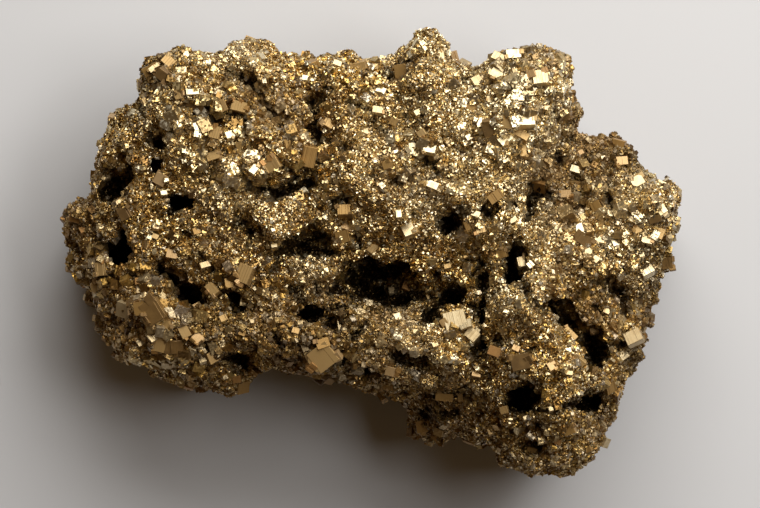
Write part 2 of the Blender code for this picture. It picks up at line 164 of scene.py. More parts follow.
coarseZones = [
    (-33, 27, 9, 0.9), (-22, 24, 8, 0.7), (-12, 18, 6, 0.6), (-27, 17, 8, 0.6), (29, 33, 9, 1.0),
    (26, 23, 8, 1.0), (44, 6, 9, 0.8), (52, 8, 7, 0.8), (-40, -13, 8, 1.0), (-34, -18, 6, 0.8),
    (-9, -20, 7, 0.7), (9, 20, 5, 0.4), (-25, -5, 6, 0.6), (48, -15, 6, 0.6), (17, -14, 5, 0.4),
    (0, 31, 8, 0.4), (-50, -5, 8, 0.5),
]
# Tarnish and painted shade: partly brown tarnish of the mineral, partly painted shade where less light
# reaches, on the lower left and along the bottom
tarnishAndShadeZones = [
    (-23, 31, 3.5, 0.9), (-18.5, 27, 4.5, 1.0), (-14.5, 23.5, 3.5, 0.9), (-12, 25, 2.5, 0.8),
    (-16, 29, 4, 0.9), (-14, 20, 3, 0.7), (-40, 37, 4, 0.5), (-23, 39.5, 2.5, 0.5), (33, 39.5, 4, 0.5),
    (-16, -12, 5, 0.9), (-8, -11, 5, 0.9), (0, -12, 4, 0.8), (7, -12.5, 3, 0.7), (-31, -11, 4, 0.6),
    (49, -11, 5, 0.8), (56, -13, 7, 1.0), (52, -25, 5, 0.8), (27, 41, 4, 0.5), (36, 40, 5, 0.7),
    (-27, -13, 5, 0.6), (-38, -8, 4, 0.5), (-57, 6, 6, 0.9), (-52, 16, 5, 0.8), (-49, 13, 4, 0.9),
    (-53, -2, 7, 0.7), (-47, -6, 8, 0.8), (-37, -6, 6, 0.9), (-48, -14, 9, 1.0), (-33, -16, 10, 0.8),
    (-30, -23, 9, 0.7), (-20, -16, 9, 0.9), (-21, -10, 6, 0.7), (-29, -2, 5, 0.7), (-10, -14, 8, 0.8),
    (-13, -22, 9, 1.0), (0, -22, 8, 0.9), (3, -11, 5, 0.8), (45, 21, 8, 1.0), (37, 15, 6, 1.0),
    (38, 9, 5, 0.9), (44, 11, 5, 0.6), (39, -4, 6, 0.5), (42, -11, 6, 1.0), (47, -14, 7, 0.7),
    (50, -23, 8, 0.7), (44, -33, 7, 0.8), (33, -41, 12, 0.55), (13, -32, 9, 0.9), (24, -36, 7, 0.3),
    (17, 6, 3, 0.7), (12, 12.5, 3.5, 0.5), (6, 13, 4, 0.6),
]
# Painted sheen: patches made paler, and freer of painted shade, where more light falls
paintedSheenZones = [
    (24, 26, 13, 1.0), (20, 15, 7, 0.9), (11, 30, 9, 0.6), (1, 21, 10, 0.5), (-4, 7, 8, 0.4),
    (-38, 25, 6, 0.7), (-27, 13, 7, 0.8), (-25, 37, 5, 0.7), (-19, 8, 7, 0.5), (-11, -3.5, 4, 0.9),
    (11, 9.5, 6, 1.0), (11, 41, 4, 0.9), (28, 12, 5, 0.8), (33, 5, 7, 0.8), (27, 3, 5, 0.7),
    (28, 21, 7, 0.6), (-24, 10, 6, 0.6), (27, -9, 5, 0.9), (8, -16, 7, 0.6), (50, 9, 7, 0.8),
    (46, 2, 5, 0.8), (32, 6, 6, 0.5), (52, -4, 4, 0.7), (25, 15, 6, 0.6), (14, 22, 6, 0.5),
    (16, 13, 4, 0.5),
]
# Painted shade: broad patches darkened where the surface turns away from the light
paintedShadeZones = [
    (-27, -13, 7, 0.3), (-14, -13, 7, 0.35), (2, -11, 4, 0.3), (56, -13, 6, 0.35), (-30, -17, 6, 0.25),
    (25, 42, 4, 0.2), (36, 40, 5, 0.3), (38, -28, 6, 0.3), (32, -5, 4, 0.25), (9, -11.4, 3.5, 0.5),
    (56, 0, 4, 0.5), (47.5, 4.5, 2.5, 0.35), (45, -9, 2.5, 0.35), (28, 39, 5, 0.15), (48, 20, 5, 0.35),
    (-25.5, 29.5, 3, 0.35), (-33, -1.5, 2.5, 0.35), (-38.5, -8, 2.5, 0.35), (46, -27, 6, 0.3),
    (42, -37, 5, 0.3), (20, 10.6, 2.2, 0.45), (-14, -16.5, 9, 0.12), (34, -1, 5, 0.15),
    (41, 13, 5, 0.3), (35, 15, 3, 0.35), (46.5, 20, 3, 0.25), (38, 8, 3, 0.25), (-45, 27, 3, 0.2),
    (29.5, 30, 3.5, 0.4), (28, 38, 7, 0.6), (-41, 36, 6, 0.5), (14, 38, 5, 0.4), (53, 18, 5, 0.8),
    (54, -7, 4, 0.7), (52, -20, 4, 0.7), (-31, -20, 6, 0.3), (-6, -19, 6, 0.6), (-6, -12, 5, 0.5),
    (4, -11, 4, 0.4), (44, -27, 4, 0.4),
]
# Painted light: patches where the painted shade of hollows and seams is taken away, so they look lit
paintedLightZones = [
    (-50, 18, 2.5, 1.0), (-24, 7, 1.8, 0.7), (21.4, 6.4, 1.6, 0.8), (24.2, 9, 1.4, 0.6),
    (37, 20, 2.6, 0.9), (10, -4.5, 2.2, 1.0), (42, -14, 1.8, 0.7), (45.6, -19.5, 1.5, 0.7),
    (-12, 6.5, 2.2, 0.8), (-41.6, 24, 1.2, 0.7), (-10.6, 30.5, 1.6, 0.8), (-25, 32.5, 1.5, 0.6),
    (50, -10.5, 1.2, 0.8), (46.8, -8.6, 1.2, 0.8), (-25.8, -10.4, 1.2, 0.7), (-11, 29.6, 2.4, 0.7),
    (-6.8, 25, 2.5, 0.6), (-48.7, 17, 3, 0.6), (-22.4, 13.2, 3.5, 0.5), (-25.3, 34.4, 1.8, 0.7),
    (14, -5.2, 2.2, 0.9), (7, 9.5, 5, 0.35), (-40.6, 24, 2.2, 0.6), (17, 13, 4, 0.35),
    (-34.8, -4.4, 2, 0.4), (21.4, 31.6, 2.5, 0.5), (35.6, 27, 2.5, 0.4), (45.3, -5.4, 2, 0.5),
    (26, -12.2, 3, 0.35), (4.8, -18, 2, 0.5), (41.4, -15, 2, 0.5), (-32, 15, 4, 0.2), (5, 20, 6, 0.12),
    (24, -38, 5, 0.5), (34, -39, 4, 0.3), (-30, -25.5, 4, 0.5),
]
# Darker towards the bottom: most at the floor and none above upTo, added to the tarnish and shade
lowDarkening = {"most": 0.8, "upTo": 28 * mm}


def nearShare(points, x, y, reach):
    away = points[:, :2] / mm - np.array((x, y))
    return np.exp(-(away ** 2).sum(axis=1) / reach ** 2)


def zoneStrength(points, zones):
    total = np.zeros(len(points))
    for x, y, reach, strength in zones:
        total = np.maximum(total, strength * nearShare(points, x, y, reach))
    return total


def paintZones(mesh):
    points = readVectors(mesh.vertices)
    low = lowDarkening["most"] * np.clip(1 - points[:, 2] / lowDarkening["upTo"], 0, 1)
    writeAttribute(mesh, "tarnishAndShade", np.clip(zoneStrength(points, tarnishAndShadeZones) + low, 0, 1))
    writeAttribute(mesh, "paintedSheen", zoneStrength(points, paintedSheenZones))


# The solid, drawn aside a little where lobes and vugs sit otherwise

outlineShift = (0.3, 0.07)

# x and y of each place, its reach, then how far it goes in x and in y, all in mm
nudges = [
    # right lobe
    (40, 36.5, 4.5, -1.7, -0.6), (38, 40, 3, -0.5, -0.8), (26.5, 41.2, 4, 0.3, -1.7),
    (41.2, 27.5, 2.5, -0.6, 0), (41.3, 24.2, 2.2, -0.3, -1.2), (38.6, 24, 2.2, 0, -1.6),
    # summit
    (13.2, 42, 2.5, 0.8, 0.7), (17.6, 37.6, 3, -0.4, -1.1), (5, 39.7, 3, 0.4, -0.8),
    (8.3, 43, 2, 0.5, -0.3), (-12, 39.2, 4.5, 0, -1.0),
    # far right
    (48.5, 21.8, 3, 0.3, 1.2), (54.5, 16.8, 3.5, -1.1, -1.3), (58, 14.6, 2, -0.4, -0.4),
    (59.3, 8, 3, 0.6, 0), (58, -4.5, 3, -1.0, 0.2), (56.3, -9, 4, -1.4, 0), (55.4, -15.5, 5.5, -2.0, 0),
    (53.6, -22, 3, -0.7, 0.5),
    # below
    (50.2, -25.8, 2.5, -1.2, 0), (48.6, -29.5, 3, -0.6, 0.2), (33.6, -43.3, 4, 0, 0.9),
    (40, -42, 2.5, 0.3, -0.4), (22.7, -38.5, 2.5, 0.8, 1.0), (14, -37.2, 3, 0, 1.1),
    (10.2, -35.9, 2, -0.3, -0.8), (5, -29.5, 3, 0.8, 0.8), (0, -26.3, 2.5, -0.3, -1.1),
    (-7, -25.4, 3.5, 0, 0.8), (-16.5, -24.1, 4, 0, 1.3), (-23.5, -26, 3, -0.4, 0.6),
    (-43.5, -23.8, 4, 0.7, 1.2), (-48.6, -18.8, 3.5, -1.0, -0.8),
    # left
    (-59.3, -0.8, 5, 1.2, 0.2), (-58.6, 7.5, 3, -0.8, 0.6), (-51.5, 22.8, 4, -0.7, 0.4),
    (-45.2, 32.5, 5, 0.7, -0.1), (-42.8, 37.4, 2, -0.3, 0.5), (-32.6, 38.7, 3, 0, 1.1),
    (-28, 40.3, 2.2, 0.7, -0.8),
    # vugs
    (-13.5, 3, 6, 0.5, -2.2), (28.5, -0.7, 4.5, -0.5, -1.8), (-35.5, -7, 4, 0.8, -1.4),
]

# x, y and reach of each hollow that is shallower, and the height its floor comes up to
fills = [
    (-50.2, 18.5, 3.2, 35.5), (9.5, -4.5, 3.2, 37.5), (-24.4, 5, 2.6, 43), (-41.8, 23.8, 1.8, 39.5),
    (-25.5, 34, 2.4, 41), (21.4, 7, 2.2, 48), (42, -14, 2.2, 34.5), (37, 20, 2.5, 31),
    (-48.8, 13.4, 3, 29.5), (-23.8, 13.6, 1.8, 45), (-10.6, 31.4, 2.2, 42), (-7.8, 24.6, 2.5, 44),
    (-41.2, 21.4, 1.3, 36.5), (-23.6, 32.8, 1.6, 41), (12, -6, 2.4, 38.5), (-50.6, 2.8, 1.6, 34),
    (38.4, -11.6, 2, 34), (31.4, -27.6, 1.8, 31),
]
deepest = 14 * mm


def drawAside(mesh):
    points = readVectors(mesh.vertices)
    moved = points.copy()
    shiftX, shiftY = outlineShift
    for x, y, reach, alongX, alongY in nudges:
        share = nearShare(points, x + shiftX, y + shiftY, reach) * mm
        moved[:, 0] += share * alongX
        moved[:, 1] += share * alongY
    for x, y, reach, level in fills:
        missing = level * mm - moved[:, 2]
        missing[(missing < 0) | (missing > deepest)] = 0
        moved[:, 2] += missing * nearShare(moved, x + shiftX, y + shiftY, reach)
    movePoints(mesh, moved)


def makeSolidMesh():
    shape = bmesh.new()
    shape.from_mesh(massNode.data)
    bmesh.ops.remove_doubles(shape, verts=shape.verts, dist=1e-6)
    mesh = meshFrom(shape, "pyrite skin")
    drawAside(mesh)
    return mesh


# Large crystals

finishes = {
    "steel": 0.05, "brown": 0.2, "rust": 0.36, "peach": 0.52, "tan": 0.68, "straw": 0.85, "bright": 1.0,
}

# x, y, width, height, turn, tilt off level, the way it leans, finish, how striped if it is
crystals = [
    # summit
    (8.6, 20.1, 2.4, 2.4, 8, 22, 88, "bright"), (11.4, 20.4, 2.4, 2.4, -12, 20, 96, "bright", 0.1),
    (5.9, 34.9, 2.7, 3.0, 8, 12, 170, "brown", 0.2), (2, 31.4, 1.9, 1.3, -26, 22, 92, "bright"),
    (-2.7, 35.8, 3.4, 1.6, 12, 14, 250, "tan", 0.4), (1.4, 27.6, 2.1, 1.4, -8, 21, 90, "straw"),
    (9.7, 22.9, 1.6, 1.4, 35, 12, 180, "tan", 0.2), (3.2, 16.9, 2.0, 1.6, 20, 12, 300, "brown", 0.3),
    (6.9, 30, 1.1, 1.1, 12, 24, 86, "bright"), (9, 27, 1.2, 1.2, 30, 20, 90, "straw"),
    (-1.2, 23.4, 2.0, 1.3, 10, 24, 80, "straw", 0.5), (4.4, 25.2, 1.6, 1.4, -24, 12, 200, "tan", 0.2),
    (13.6, 38, 1.2, 2.0, 8, 20, 70, "straw", 0.1), (-6.4, 36.6, 1.7, 1.1, -20, 20, 90, "straw", 0.1),
    # upper left
    (-34.3, 31, 2.5, 1.2, 3, 21, 92, "bright"), (-36.9, 30.5, 2.0, 1.8, 14, 8, 150, "tan", 0.1),
    (-33.7, 29, 3.6, 2.8, -20, 15, 250, "steel", 0.2),
    (-40.1, 34, 3.0, 2.0, -35, 18, 210, "steel", 0.3),
    (-41.9, 35.8, 2.4, 1.1, 40, 22, 95, "straw", 0.2), (-35.7, 38.2, 1.1, 1.9, 10, 20, 90, "bright"),
    (-25.4, 28.2, 3.0, 2.0, -14, 13, 120, "tan", 0.7), (-28.9, 28.1, 2.3, 2.3, 26, 9, 240, "tan"),
    (-27.1, 22.8, 1.7, 1.5, 22, 21, 90, "bright"), (-11.9, 18.4, 2.8, 4.0, -12, 10, 300, "brown", 1.0),
    (-19.1, 16.9, 2.9, 2.5, 30, 12, 200, "tan", 0.1), (-22.4, 16, 1.4, 1.9, -36, 22, 88, "bright"),
    (-30.4, 18.7, 2.6, 1.7, 18, 12, 120, "tan", 0.2), (-38.7, 36.7, 3.6, 2.0, -42, 16, 60, "tan", 1.0),
    (-31.7, 28, 1.8, 1.7, 20, 10, 210, "brown", 0.1),
    (-33.3, 24.5, 1.8, 1.3, 15, 24, 84, "bright", 0.1), (-30, 23.2, 2.1, 2.5, -15, 14, 130, "tan", 0.9),
    (-37.2, 26, 0.7, 2.3, 40, 24, 90, "straw"), (-12.6, 33.8, 1.3, 1.1, -10, 25, 80, "bright"),
    (-8, 25.1, 2.1, 1.9, -30, 14, 30, "tan", 0.8), (-21.1, 14.5, 1.5, 2.2, -25, 12, 150, "tan", 0.1),
    (-29, 31.5, 1.6, 1.2, 8, 22, 100, "straw"), (-43.4, 29.4, 1.5, 1.4, 30, 18, 60, "tan", 0.2),
    (-25.2, 20.4, 1.4, 1.8, 24, 14, 220, "tan", 0.1), (-16.5, 21, 1.9, 1.5, -30, 18, 120, "brown", 0.4),
    # right lobe
    (27.5, 38.3, 2.9, 1.8, 4, 20, 92, "bright"), (25.2, 37.4, 4.0, 1.7, -28, 24, 95, "straw", 0.8),
    (32.6, 33.8, 3.0, 2.8, 8, 21, 90, "straw", 0.9), (30, 25.5, 3.2, 2.1, 2, 22, 86, "bright", 0.1),
    (26.2, 25.1, 2.4, 2.6, -10, 7, 200, "tan", 0.1), (23.3, 23.6, 3.6, 3.0, 18, 18, 280, "steel", 0.3),
    (25.9, 21.9, 2.7, 1.8, 40, 22, 94, "bright", 0.2), (28.8, 22.9, 3.6, 1.5, -32, 20, 80, "tan", 0.1),
    (21.1, 25.1, 1.6, 1.9, 12, 22, 92, "bright"), (20.7, 33.4, 2.4, 1.8, 30, 24, 96, "straw", 0.2),
    (24.3, 34.4, 2.6, 1.8, -30, 21, 84, "straw", 0.1), (29.3, 19.7, 1.3, 2.6, 4, 22, 90, "tan", 0.3),
    (38.5, 30.1, 1.6, 2.4, 8, 14, 330, "brown", 0.2),
    (37.2, 26.4, 2.4, 1.6, -20, 16, 200, "steel", 0.1), (19.6, 28.2, 2.3, 2.0, 45, 10, 160, "tan", 0.2),
    (19, 22.3, 1.4, 1.2, 30, 24, 84, "bright"), (30.4, 30.6, 1.8, 0.9, 4, 26, 84, "straw"),
    (33.4, 23.2, 1.4, 1.3, -12, 20, 90, "straw", 0.1), (23.4, 29.6, 2.0, 1.4, 6, 22, 100, "straw", 0.4),
    (35.6, 21.8, 1.2, 1.2, 20, 24, 84, "bright"),
    # left side
    (-52.4, -3.2, 2.1, 2.6, 5, 20, 180, "tan", 0.2), (-47.6, 7.5, 2.3, 2.2, 30, 16, 200, "steel", 0.1),
    (-39.9, 11.6, 1.3, 1.0, 10, 25, 82, "bright", 0.1), (-48.7, 9.8, 1.1, 0.9, 20, 24, 80, "straw"),
    (-38.3, -0.2, 2.3, 1.8, -10, 14, 100, "peach"), (-53.2, -6.6, 2.3, 2.1, 20, 12, 160, "tan", 0.1),
    (-44.5, -5.4, 2.2, 1.4, 5, 16, 120, "rust", 0.1),
    (-44.7, -7.4, 1.2, 1.1, -10, 25, 80, "straw", 1.0), (-55.8, 4.6, 1.5, 1.3, 30, 20, 110, "rust"),
    (-51.2, 14.8, 1.4, 1.2, 12, 22, 80, "straw"), (-41.6, 3.2, 1.3, 1.1, -25, 20, 90, "tan", 0.1),
    (-33.6, 4.2, 1.4, 1.3, 15, 18, 60, "brown", 0.2), (-29.2, -5.6, 1.1, 2.0, 25, 22, 110, "tan", 0.1),
    (-31.9, -2.3, 2.0, 1.2, 20, 22, 80, "straw", 0.8), (-22.3, -6.7, 1.1, 1.1, 40, 25, 84, "bright"),
    (-18.6, 1.4, 1.2, 0.9, 10, 22, 90, "straw", 0.1),
    # lower left
    (-42.1, -11.4, 3.8, 4.6, 32, 14, 190, "steel", 0.2),
    (-44.6, -10.8, 2.3, 2.6, 10, 16, 160, "brown", 0.1), (-42, -16.3, 1.7, 1.7, 36, 22, 90, "straw"),
    (-40.7, -17.7, 2.4, 3.0, -12, 12, 220, "tan", 0.2),
    (-38, -18.3, 3.6, 2.6, 5, 15, 270, "steel", 1.0), (-35.9, -15.2, 1.9, 2.5, 28, 12, 120, "tan", 0.2),
    (-33.4, -16.4, 1.9, 1.9, 44, 20, 100, "peach", 0.1),
    (-24.5, -4, 2.9, 3.6, -22, 13, 150, "tan", 0.9), (-27.1, -5.8, 2.0, 1.9, 8, 14, 30, "brown", 0.5),
    (-30.6, -7, 1.8, 2.7, 40, 20, 140, "tan", 0.2), (-46.4, -11.2, 1.2, 1.9, 5, 16, 130, "peach"),
    (-39.5, -13.7, 2.0, 1.8, 14, 12, 190, "tan", 0.1), (-38.2, -15.6, 1.6, 1.4, 20, 14, 60, "rust"),
    (-38.7, -21, 3.4, 1.2, -5, 22, 86, "straw", 1.0), (-32.5, -20.5, 1.4, 1.5, 20, 22, 88, "straw"),
    (-41, -21.6, 2.3, 1.8, 20, 12, 200, "brown", 0.1),
    (-35.2, -25.6, 1.8, 1.4, -15, 16, 100, "rust", 0.1),
    (-47.8, -14.6, 1.4, 1.4, 30, 12, 150, "brown", 0.1),
    (-28.4, -12.6, 1.5, 1.3, 25, 16, 80, "tan", 0.2),
    (-24.8, -15.4, 1.4, 1.2, -20, 18, 100, "brown", 0.2),
    (-26, -24.6, 1.7, 1.4, 10, 14, 230, "rust", 0.1), (-31, -9.4, 1.2, 1.2, 12, 20, 90, "straw"),
    # middle
    (-9.4, -20.3, 5.2, 4.6, 38, 9, 250, "tan", 0.05), (7.2, 4.6, 2.3, 2.6, 24, 21, 92, "straw", 0.1),
    (5.4, 7.5, 1.1, 1.6, 6, 22, 90, "bright"), (-5.5, 3, 2.6, 2.4, 14, 12, 200, "brown", 0.8),
    (-5.2, 8.3, 2.5, 2.1, 3, 18, 95, "brown", 1.0), (11.9, 13.1, 2.3, 1.5, -24, 22, 90, "bright", 0.3),
    (4, -23, 2.5, 1.8, -14, 12, 240, "peach", 0.2), (-5.5, -13.8, 1.7, 2.5, 8, 16, 80, "straw", 0.1),
    (5.3, -12.5, 1.3, 1.9, 22, 21, 92, "bright"), (16.2, -12.9, 4.2, 3.4, 14, 7, 75, "straw", 1.0),
    (19.5, -15.7, 2.6, 2.2, -40, 12, 98, "straw", 1.0),
    (-8.6, 6.9, 1.3, 1.1, -30, 25, 84, "bright", 1.0), (-4.5, 5, 2.3, 1.2, -20, 20, 70, "peach"),
    (0.1, 1, 2.2, 1.9, -35, 14, 140, "tan", 0.9), (24, 10.8, 3.0, 2.0, 35, 12, 330, "brown", 1.0),
    (21.1, 4.6, 1.9, 1.7, 10, 16, 60, "tan"), (20.2, 7.5, 1.7, 1.2, -20, 24, 84, "straw", 0.1),
    (18.8, 5.2, 1.6, 1.8, 20, 12, 300, "brown", 0.9), (4.1, -7.3, 1.2, 1.3, 10, 22, 90, "straw"),
    (7.1, -6.2, 1.7, 2.1, -20, 16, 60, "rust", 0.4), (11.7, -8.3, 1.9, 1.7, 25, 14, 80, "tan", 0.1),
    (2.8, -25.9, 3.2, 1.5, -5, 10, 260, "brown", 0.1),
    (20.4, -23.4, 1.8, 1.1, -12, 22, 86, "peach", 0.1),
    (-9.2, -17.4, 2.6, 1.9, 20, 14, 100, "brown", 0.1), (-14.4, -15, 1.5, 1.2, -18, 20, 90, "tan", 0.1),
    (-16.2, -19.4, 1.6, 1.3, 14, 14, 210, "brown", 0.1), (12.4, -17.6, 1.2, 1.0, 22, 24, 82, "straw"),
    (8.8, -15.2, 1.3, 1.0, -8, 22, 90, "straw", 0.2), (27.4, 6.4, 1.6, 1.2, 26, 22, 84, "straw", 0.1),
    (14.8, -2.6, 1.4, 1.0, 12, 22, 94, "tan", 0.1), (25, -0.2, 2.2, 1.8, 14, 12, 200, "brown", 0.1),
    # lower right
    (28.6, -21, 3.4, 3.0, 12, 9, 200, "steel", 0.1), (24.2, -19.1, 3.4, 1.9, -20, 14, 140, "rust", 0.2),
    (34.8, -21.6, 1.7, 1.7, 30, 20, 95, "peach"), (19.4, -36, 2.6, 2.2, -22, 16, 120, "peach", 0.6),
    (38, -34, 2.2, 2.0, 20, 14, 210, "brown", 0.2), (31, -38.5, 2.0, 1.8, -14, 14, 250, "brown", 0.2),
    (50.7, -16.2, 3.2, 2.6, 24, 18, 125, "straw", 0.3), (29.3, -1.7, 1.9, 2.1, 12, 22, 76, "straw"),
    (30.8, -2.3, 1.3, 1.3, 40, 25, 82, "bright"), (38.5, -15.6, 3.0, 1.4, -45, 12, 60, "tan", 0.2),
    (43.3, -15, 1.7, 1.1, 12, 20, 90, "peach"), (38, -18.7, 1.1, 1.0, 10, 25, 82, "bright"),
    (40, -21, 2.3, 1.4, -40, 14, 240, "tan", 0.1), (27.9, -18.3, 1.5, 1.2, -24, 20, 90, "peach"),
    (37.7, -23, 2.2, 0.9, -8, 25, 84, "straw", 0.1), (50.3, -12.2, 1.2, 1.2, 20, 20, 90, "peach"),
    (45.6, -11.2, 1.5, 1.1, -30, 22, 84, "straw", 0.1),
    (9.9, -33.8, 2.2, 2.4, 10, 14, 200, "brown", 0.1), (23.3, -34.5, 1.3, 1.2, 20, 18, 90, "tan"),
    (29.8, -31.7, 1.0, 0.8, 24, 24, 84, "straw"), (34.6, -29.9, 0.9, 1.0, 12, 24, 84, "straw"),
    (17.3, -27.6, 1.0, 2.4, 4, 16, 140, "tan", 0.1), (14.2, -28, 3.4, 1.5, -4, 12, 270, "brown", 0.1),
    (25.6, -30.3, 1.5, 1.4, 16, 14, 210, "tan", 0.1), (45.1, -33.8, 1.1, 1.0, 30, 22, 84, "straw"),
    (36, -36.4, 1.3, 1.1, -12, 16, 90, "rust", 0.1), (41.8, -38, 1.4, 1.2, 24, 16, 220, "brown", 0.1),
    # far right
    (40.6, 4.7, 1.9, 2.3, 6, 22, 90, "bright"), (41.1, 2.6, 3.8, 2.2, -35, 12, 300, "steel", 0.3),
    (53.4, 2.5, 2.1, 1.4, -12, 20, 86, "straw", 0.1), (48.6, 17.8, 2.3, 1.7, 5, 16, 60, "peach", 0.1),
    (51.5, 13.9, 2.5, 2.1, 30, 21, 92, "straw", 0.1), (39.7, 16.2, 2.1, 1.4, -18, 21, 92, "bright"),
    (37.7, 11.4, 2.1, 1.5, 2, 14, 120, "peach", 0.1), (43.5, 9, 2.0, 1.8, 28, 12, 200, "brown", 0.2),
    (57.4, -2.1, 2.2, 2.2, 12, 12, 200, "steel", 0.4), (39.9, 14.7, 2.2, 1.1, 4, 20, 90, "peach", 0.1),
    (40.4, 13.1, 2.0, 1.2, -6, 12, 250, "steel", 0.3), (42.7, 3.9, 1.2, 1.5, 12, 25, 82, "bright"),
    (44.3, 2.7, 1.9, 1.5, -14, 22, 84, "straw"), (42, 0.2, 1.5, 1.3, 30, 24, 84, "straw", 0.1),
    (43.5, -1.2, 1.4, 1.3, 50, 22, 80, "straw"), (36.2, -3.9, 1.3, 1.9, -6, 12, 210, "steel", 0.2),
    (53.4, -3.2, 2.6, 2.2, 30, 24, 84, "bright", 1.0), (45.1, 18.4, 0.9, 0.9, 12, 24, 84, "bright"),
    (40.8, 19.5, 1.1, 1.0, 30, 20, 90, "peach"), (56.3, 13.4, 1.9, 1.3, -24, 22, 84, "straw", 0.1),
    (56.2, 8.3, 1.8, 1.9, 34, 22, 84, "straw"), (54.9, 6.4, 2.5, 1.4, 18, 14, 250, "steel", 0.2),
    (55.6, 3.9, 2.4, 2.2, -24, 16, 60, "tan", 1.0), (51.6, 4.6, 1.5, 1.6, 20, 16, 100, "tan", 0.1),
    (44.1, 6, 1.8, 1.5, 10, 14, 220, "tan"), (47.4, 1.9, 1.4, 1.3, 20, 24, 82, "bright", 0.1),
    (48, 20.8, 2.5, 2.2, -14, 12, 200, "brown", 0.2), (52.4, -0.4, 1.0, 0.9, 14, 24, 82, "straw"),
    (46.6, -5, 1.2, 1.1, 26, 22, 84, "tan", 0.1),
]

crystalValues = {
    "stand": 0.18 * mm,
    "depthShare": 0.8,
    "bevel": 0.05 * mm,
    "toneSpread": 0.03,
    "lowest": 0.05 * mm,
    "seed": 8,
    # steps on the faces
    "stepRise": 0.10 * mm,
    "stepInset": 0.985,
    "stepReach": 0.8,
    "plainSteps": (0, 1, 2, 3),
    "stripedSteps": 3,
    "stripedFrom": 0.6,
    # cut corners
    "cornerCut": 0.22,
    "cutChance": 0.3,
    "cutSpread": (0.6, 1.5),
    # crystals round the sides
    "sideCount": 84,
    "sideSizes": (2.6, 4.6),
    "sideShrink": 0.72,
    "sideHighest": 0.35,
    "sideSeed": 12,
    "sideAngles": (28.0, 130.0),
    "sideStripes": (0, 0, 0.3, 0.9),
    "rayStart": 150.0,
    "rayCentreHeight": 26.0,
    # small ones that grow out of large ones
    "parentHalf": 0.8 * mm,
    "offshoots": (0, 1, 2, 2, 3),
    "offshootSizes": (0.3, 0.62),
    "offshootSpread": 0.9,
    "offshootRise": (-0.15 * mm, 0.25 * mm),
    "offshootLean": 0.22,
    "offshootTones": (-0.45, 0.05),
    "darkest": 0.05,
}


def crystalTurn(turn, tilt, lean):
    axis = Vector((-math.sin(math.radians(lean)), math.cos(math.radians(lean)), 0))
    return Matrix.Rotation(math.radians(tilt), 3, axis) @ Matrix.Rotation(math.radians(turn), 3, "Z")


def blockReach(rotation, half, outward):
    return min(half[i] / max(abs(rotation.col[i].dot(outward)), 1e-6) for i in range(3))


# Rays from all round towards the middle, evenly spread, each with a crystal's edge and turn
def sideRays():
    values = crystalValues
    chance = random.Random(values["sideSeed"])
    goldenTurn = math.pi * (3 - math.sqrt(5))
    lowest, highest = (-math.cos(math.radians(angle)) for angle in values["sideAngles"])
    for i in range(values["sideCount"]):
        rise = lowest + (highest - lowest) * (i + 0.5) / values["sideCount"]
        level = math.sqrt(1 - rise * rise)
        outward = Vector((level * math.cos(goldenTurn * i), level * math.sin(goldenTurn * i), rise))
        edge = chance.uniform(*values["sideSizes"])
        rotation = Euler([chance.uniform(0, math.pi / 2) for _ in range(3)]).to_matrix()
        start = Vector((*outlineShift, values["rayCentreHeight"])) + outward * values["rayStart"]
        if rise < values["sideHighest"]:
            yield start * mm, outward, edge * mm, rotation


def growOffshoots(parent, chance):
    values = crystalValues
    half = parent["half"]
    spread = values["offshootSpread"]
    for _ in range(chance.choice(values["offshoots"])):
        small = Vector([min(half.xy) * chance.uniform(*values["offshootSizes"]) for _ in range(3)])
        place = Vector([part * chance.uniform(-spread, spread) for part in half.xy] + [half.z - small.z])
        axis = chance.choice((0, 1))
        place[axis] = half[axis] * chance.choice((-1, 1))
        place.z += chance.uniform(*values["offshootRise"])
        lean = Euler([chance.gauss(0, values["offshootLean"]) for _ in range(3)]).to_matrix()
        tone = parent["tone"] + chance.uniform(*values["offshootTones"])
        yield {
            "centre": parent["centre"] + parent["rotation"] @ place, "half": small,
            "rotation": parent["rotation"] @ lean, "stripes": parent["stripes"],
            "tone": max(values["darkest"], tone),
        }


def settleCrystals(surface):
    values = crystalValues
    chance = random.Random(values["seed"])
    up = Vector((0, 0, 1))
    settled = []

    def settle(start, outward, rotation, half, depth, tone, stripes):
        hit = surface.ray_cast(start, -outward)[0]
        if hit is None:
            return
        centre = hit - depth
        drop = sum(abs(rotation[2][i]) * half[i] for i in range(3)) + values["lowest"]
        centre.z = max(centre.z, drop)
        tone += chance.uniform(-values["toneSpread"], values["toneSpread"])
        settled.append({
            "centre": centre, "rotation": rotation, "half": half, "tone": tone, "stripes": stripes,
        })

    for x, y, width, height, turn, tilt, lean, finish, *stripes in crystals:
        start = Vector((x + outlineShift[0], y + outlineShift[1], values["rayStart"])) * mm
        half = Vector((width, height, values["depthShare"] * max(width, height))) * (mm / 2)
        rotation = crystalTurn(turn, tilt, lean)
        depth = rotation.col[2] * half.z - up * values["stand"]
        settle(start, up, rotation, half, depth, finishes[finish], sum(stripes))
    for parent in list(settled):
        if max(parent["half"].xy) > values["parentHalf"]:
            settled.extend(growOffshoots(parent, chance))
    for start, outward, edge, rotation in sideRays():
        half = Vector((edge, edge, edge)) * (values["sideShrink"] / 2)
        tone = chance.choice(list(finishes.values())[:-1])
        depth = outward * blockReach(rotation, half, outward)
        settle(start, outward, rotation, half, depth, tone, chance.choice(values["sideStripes"]))
    return settled


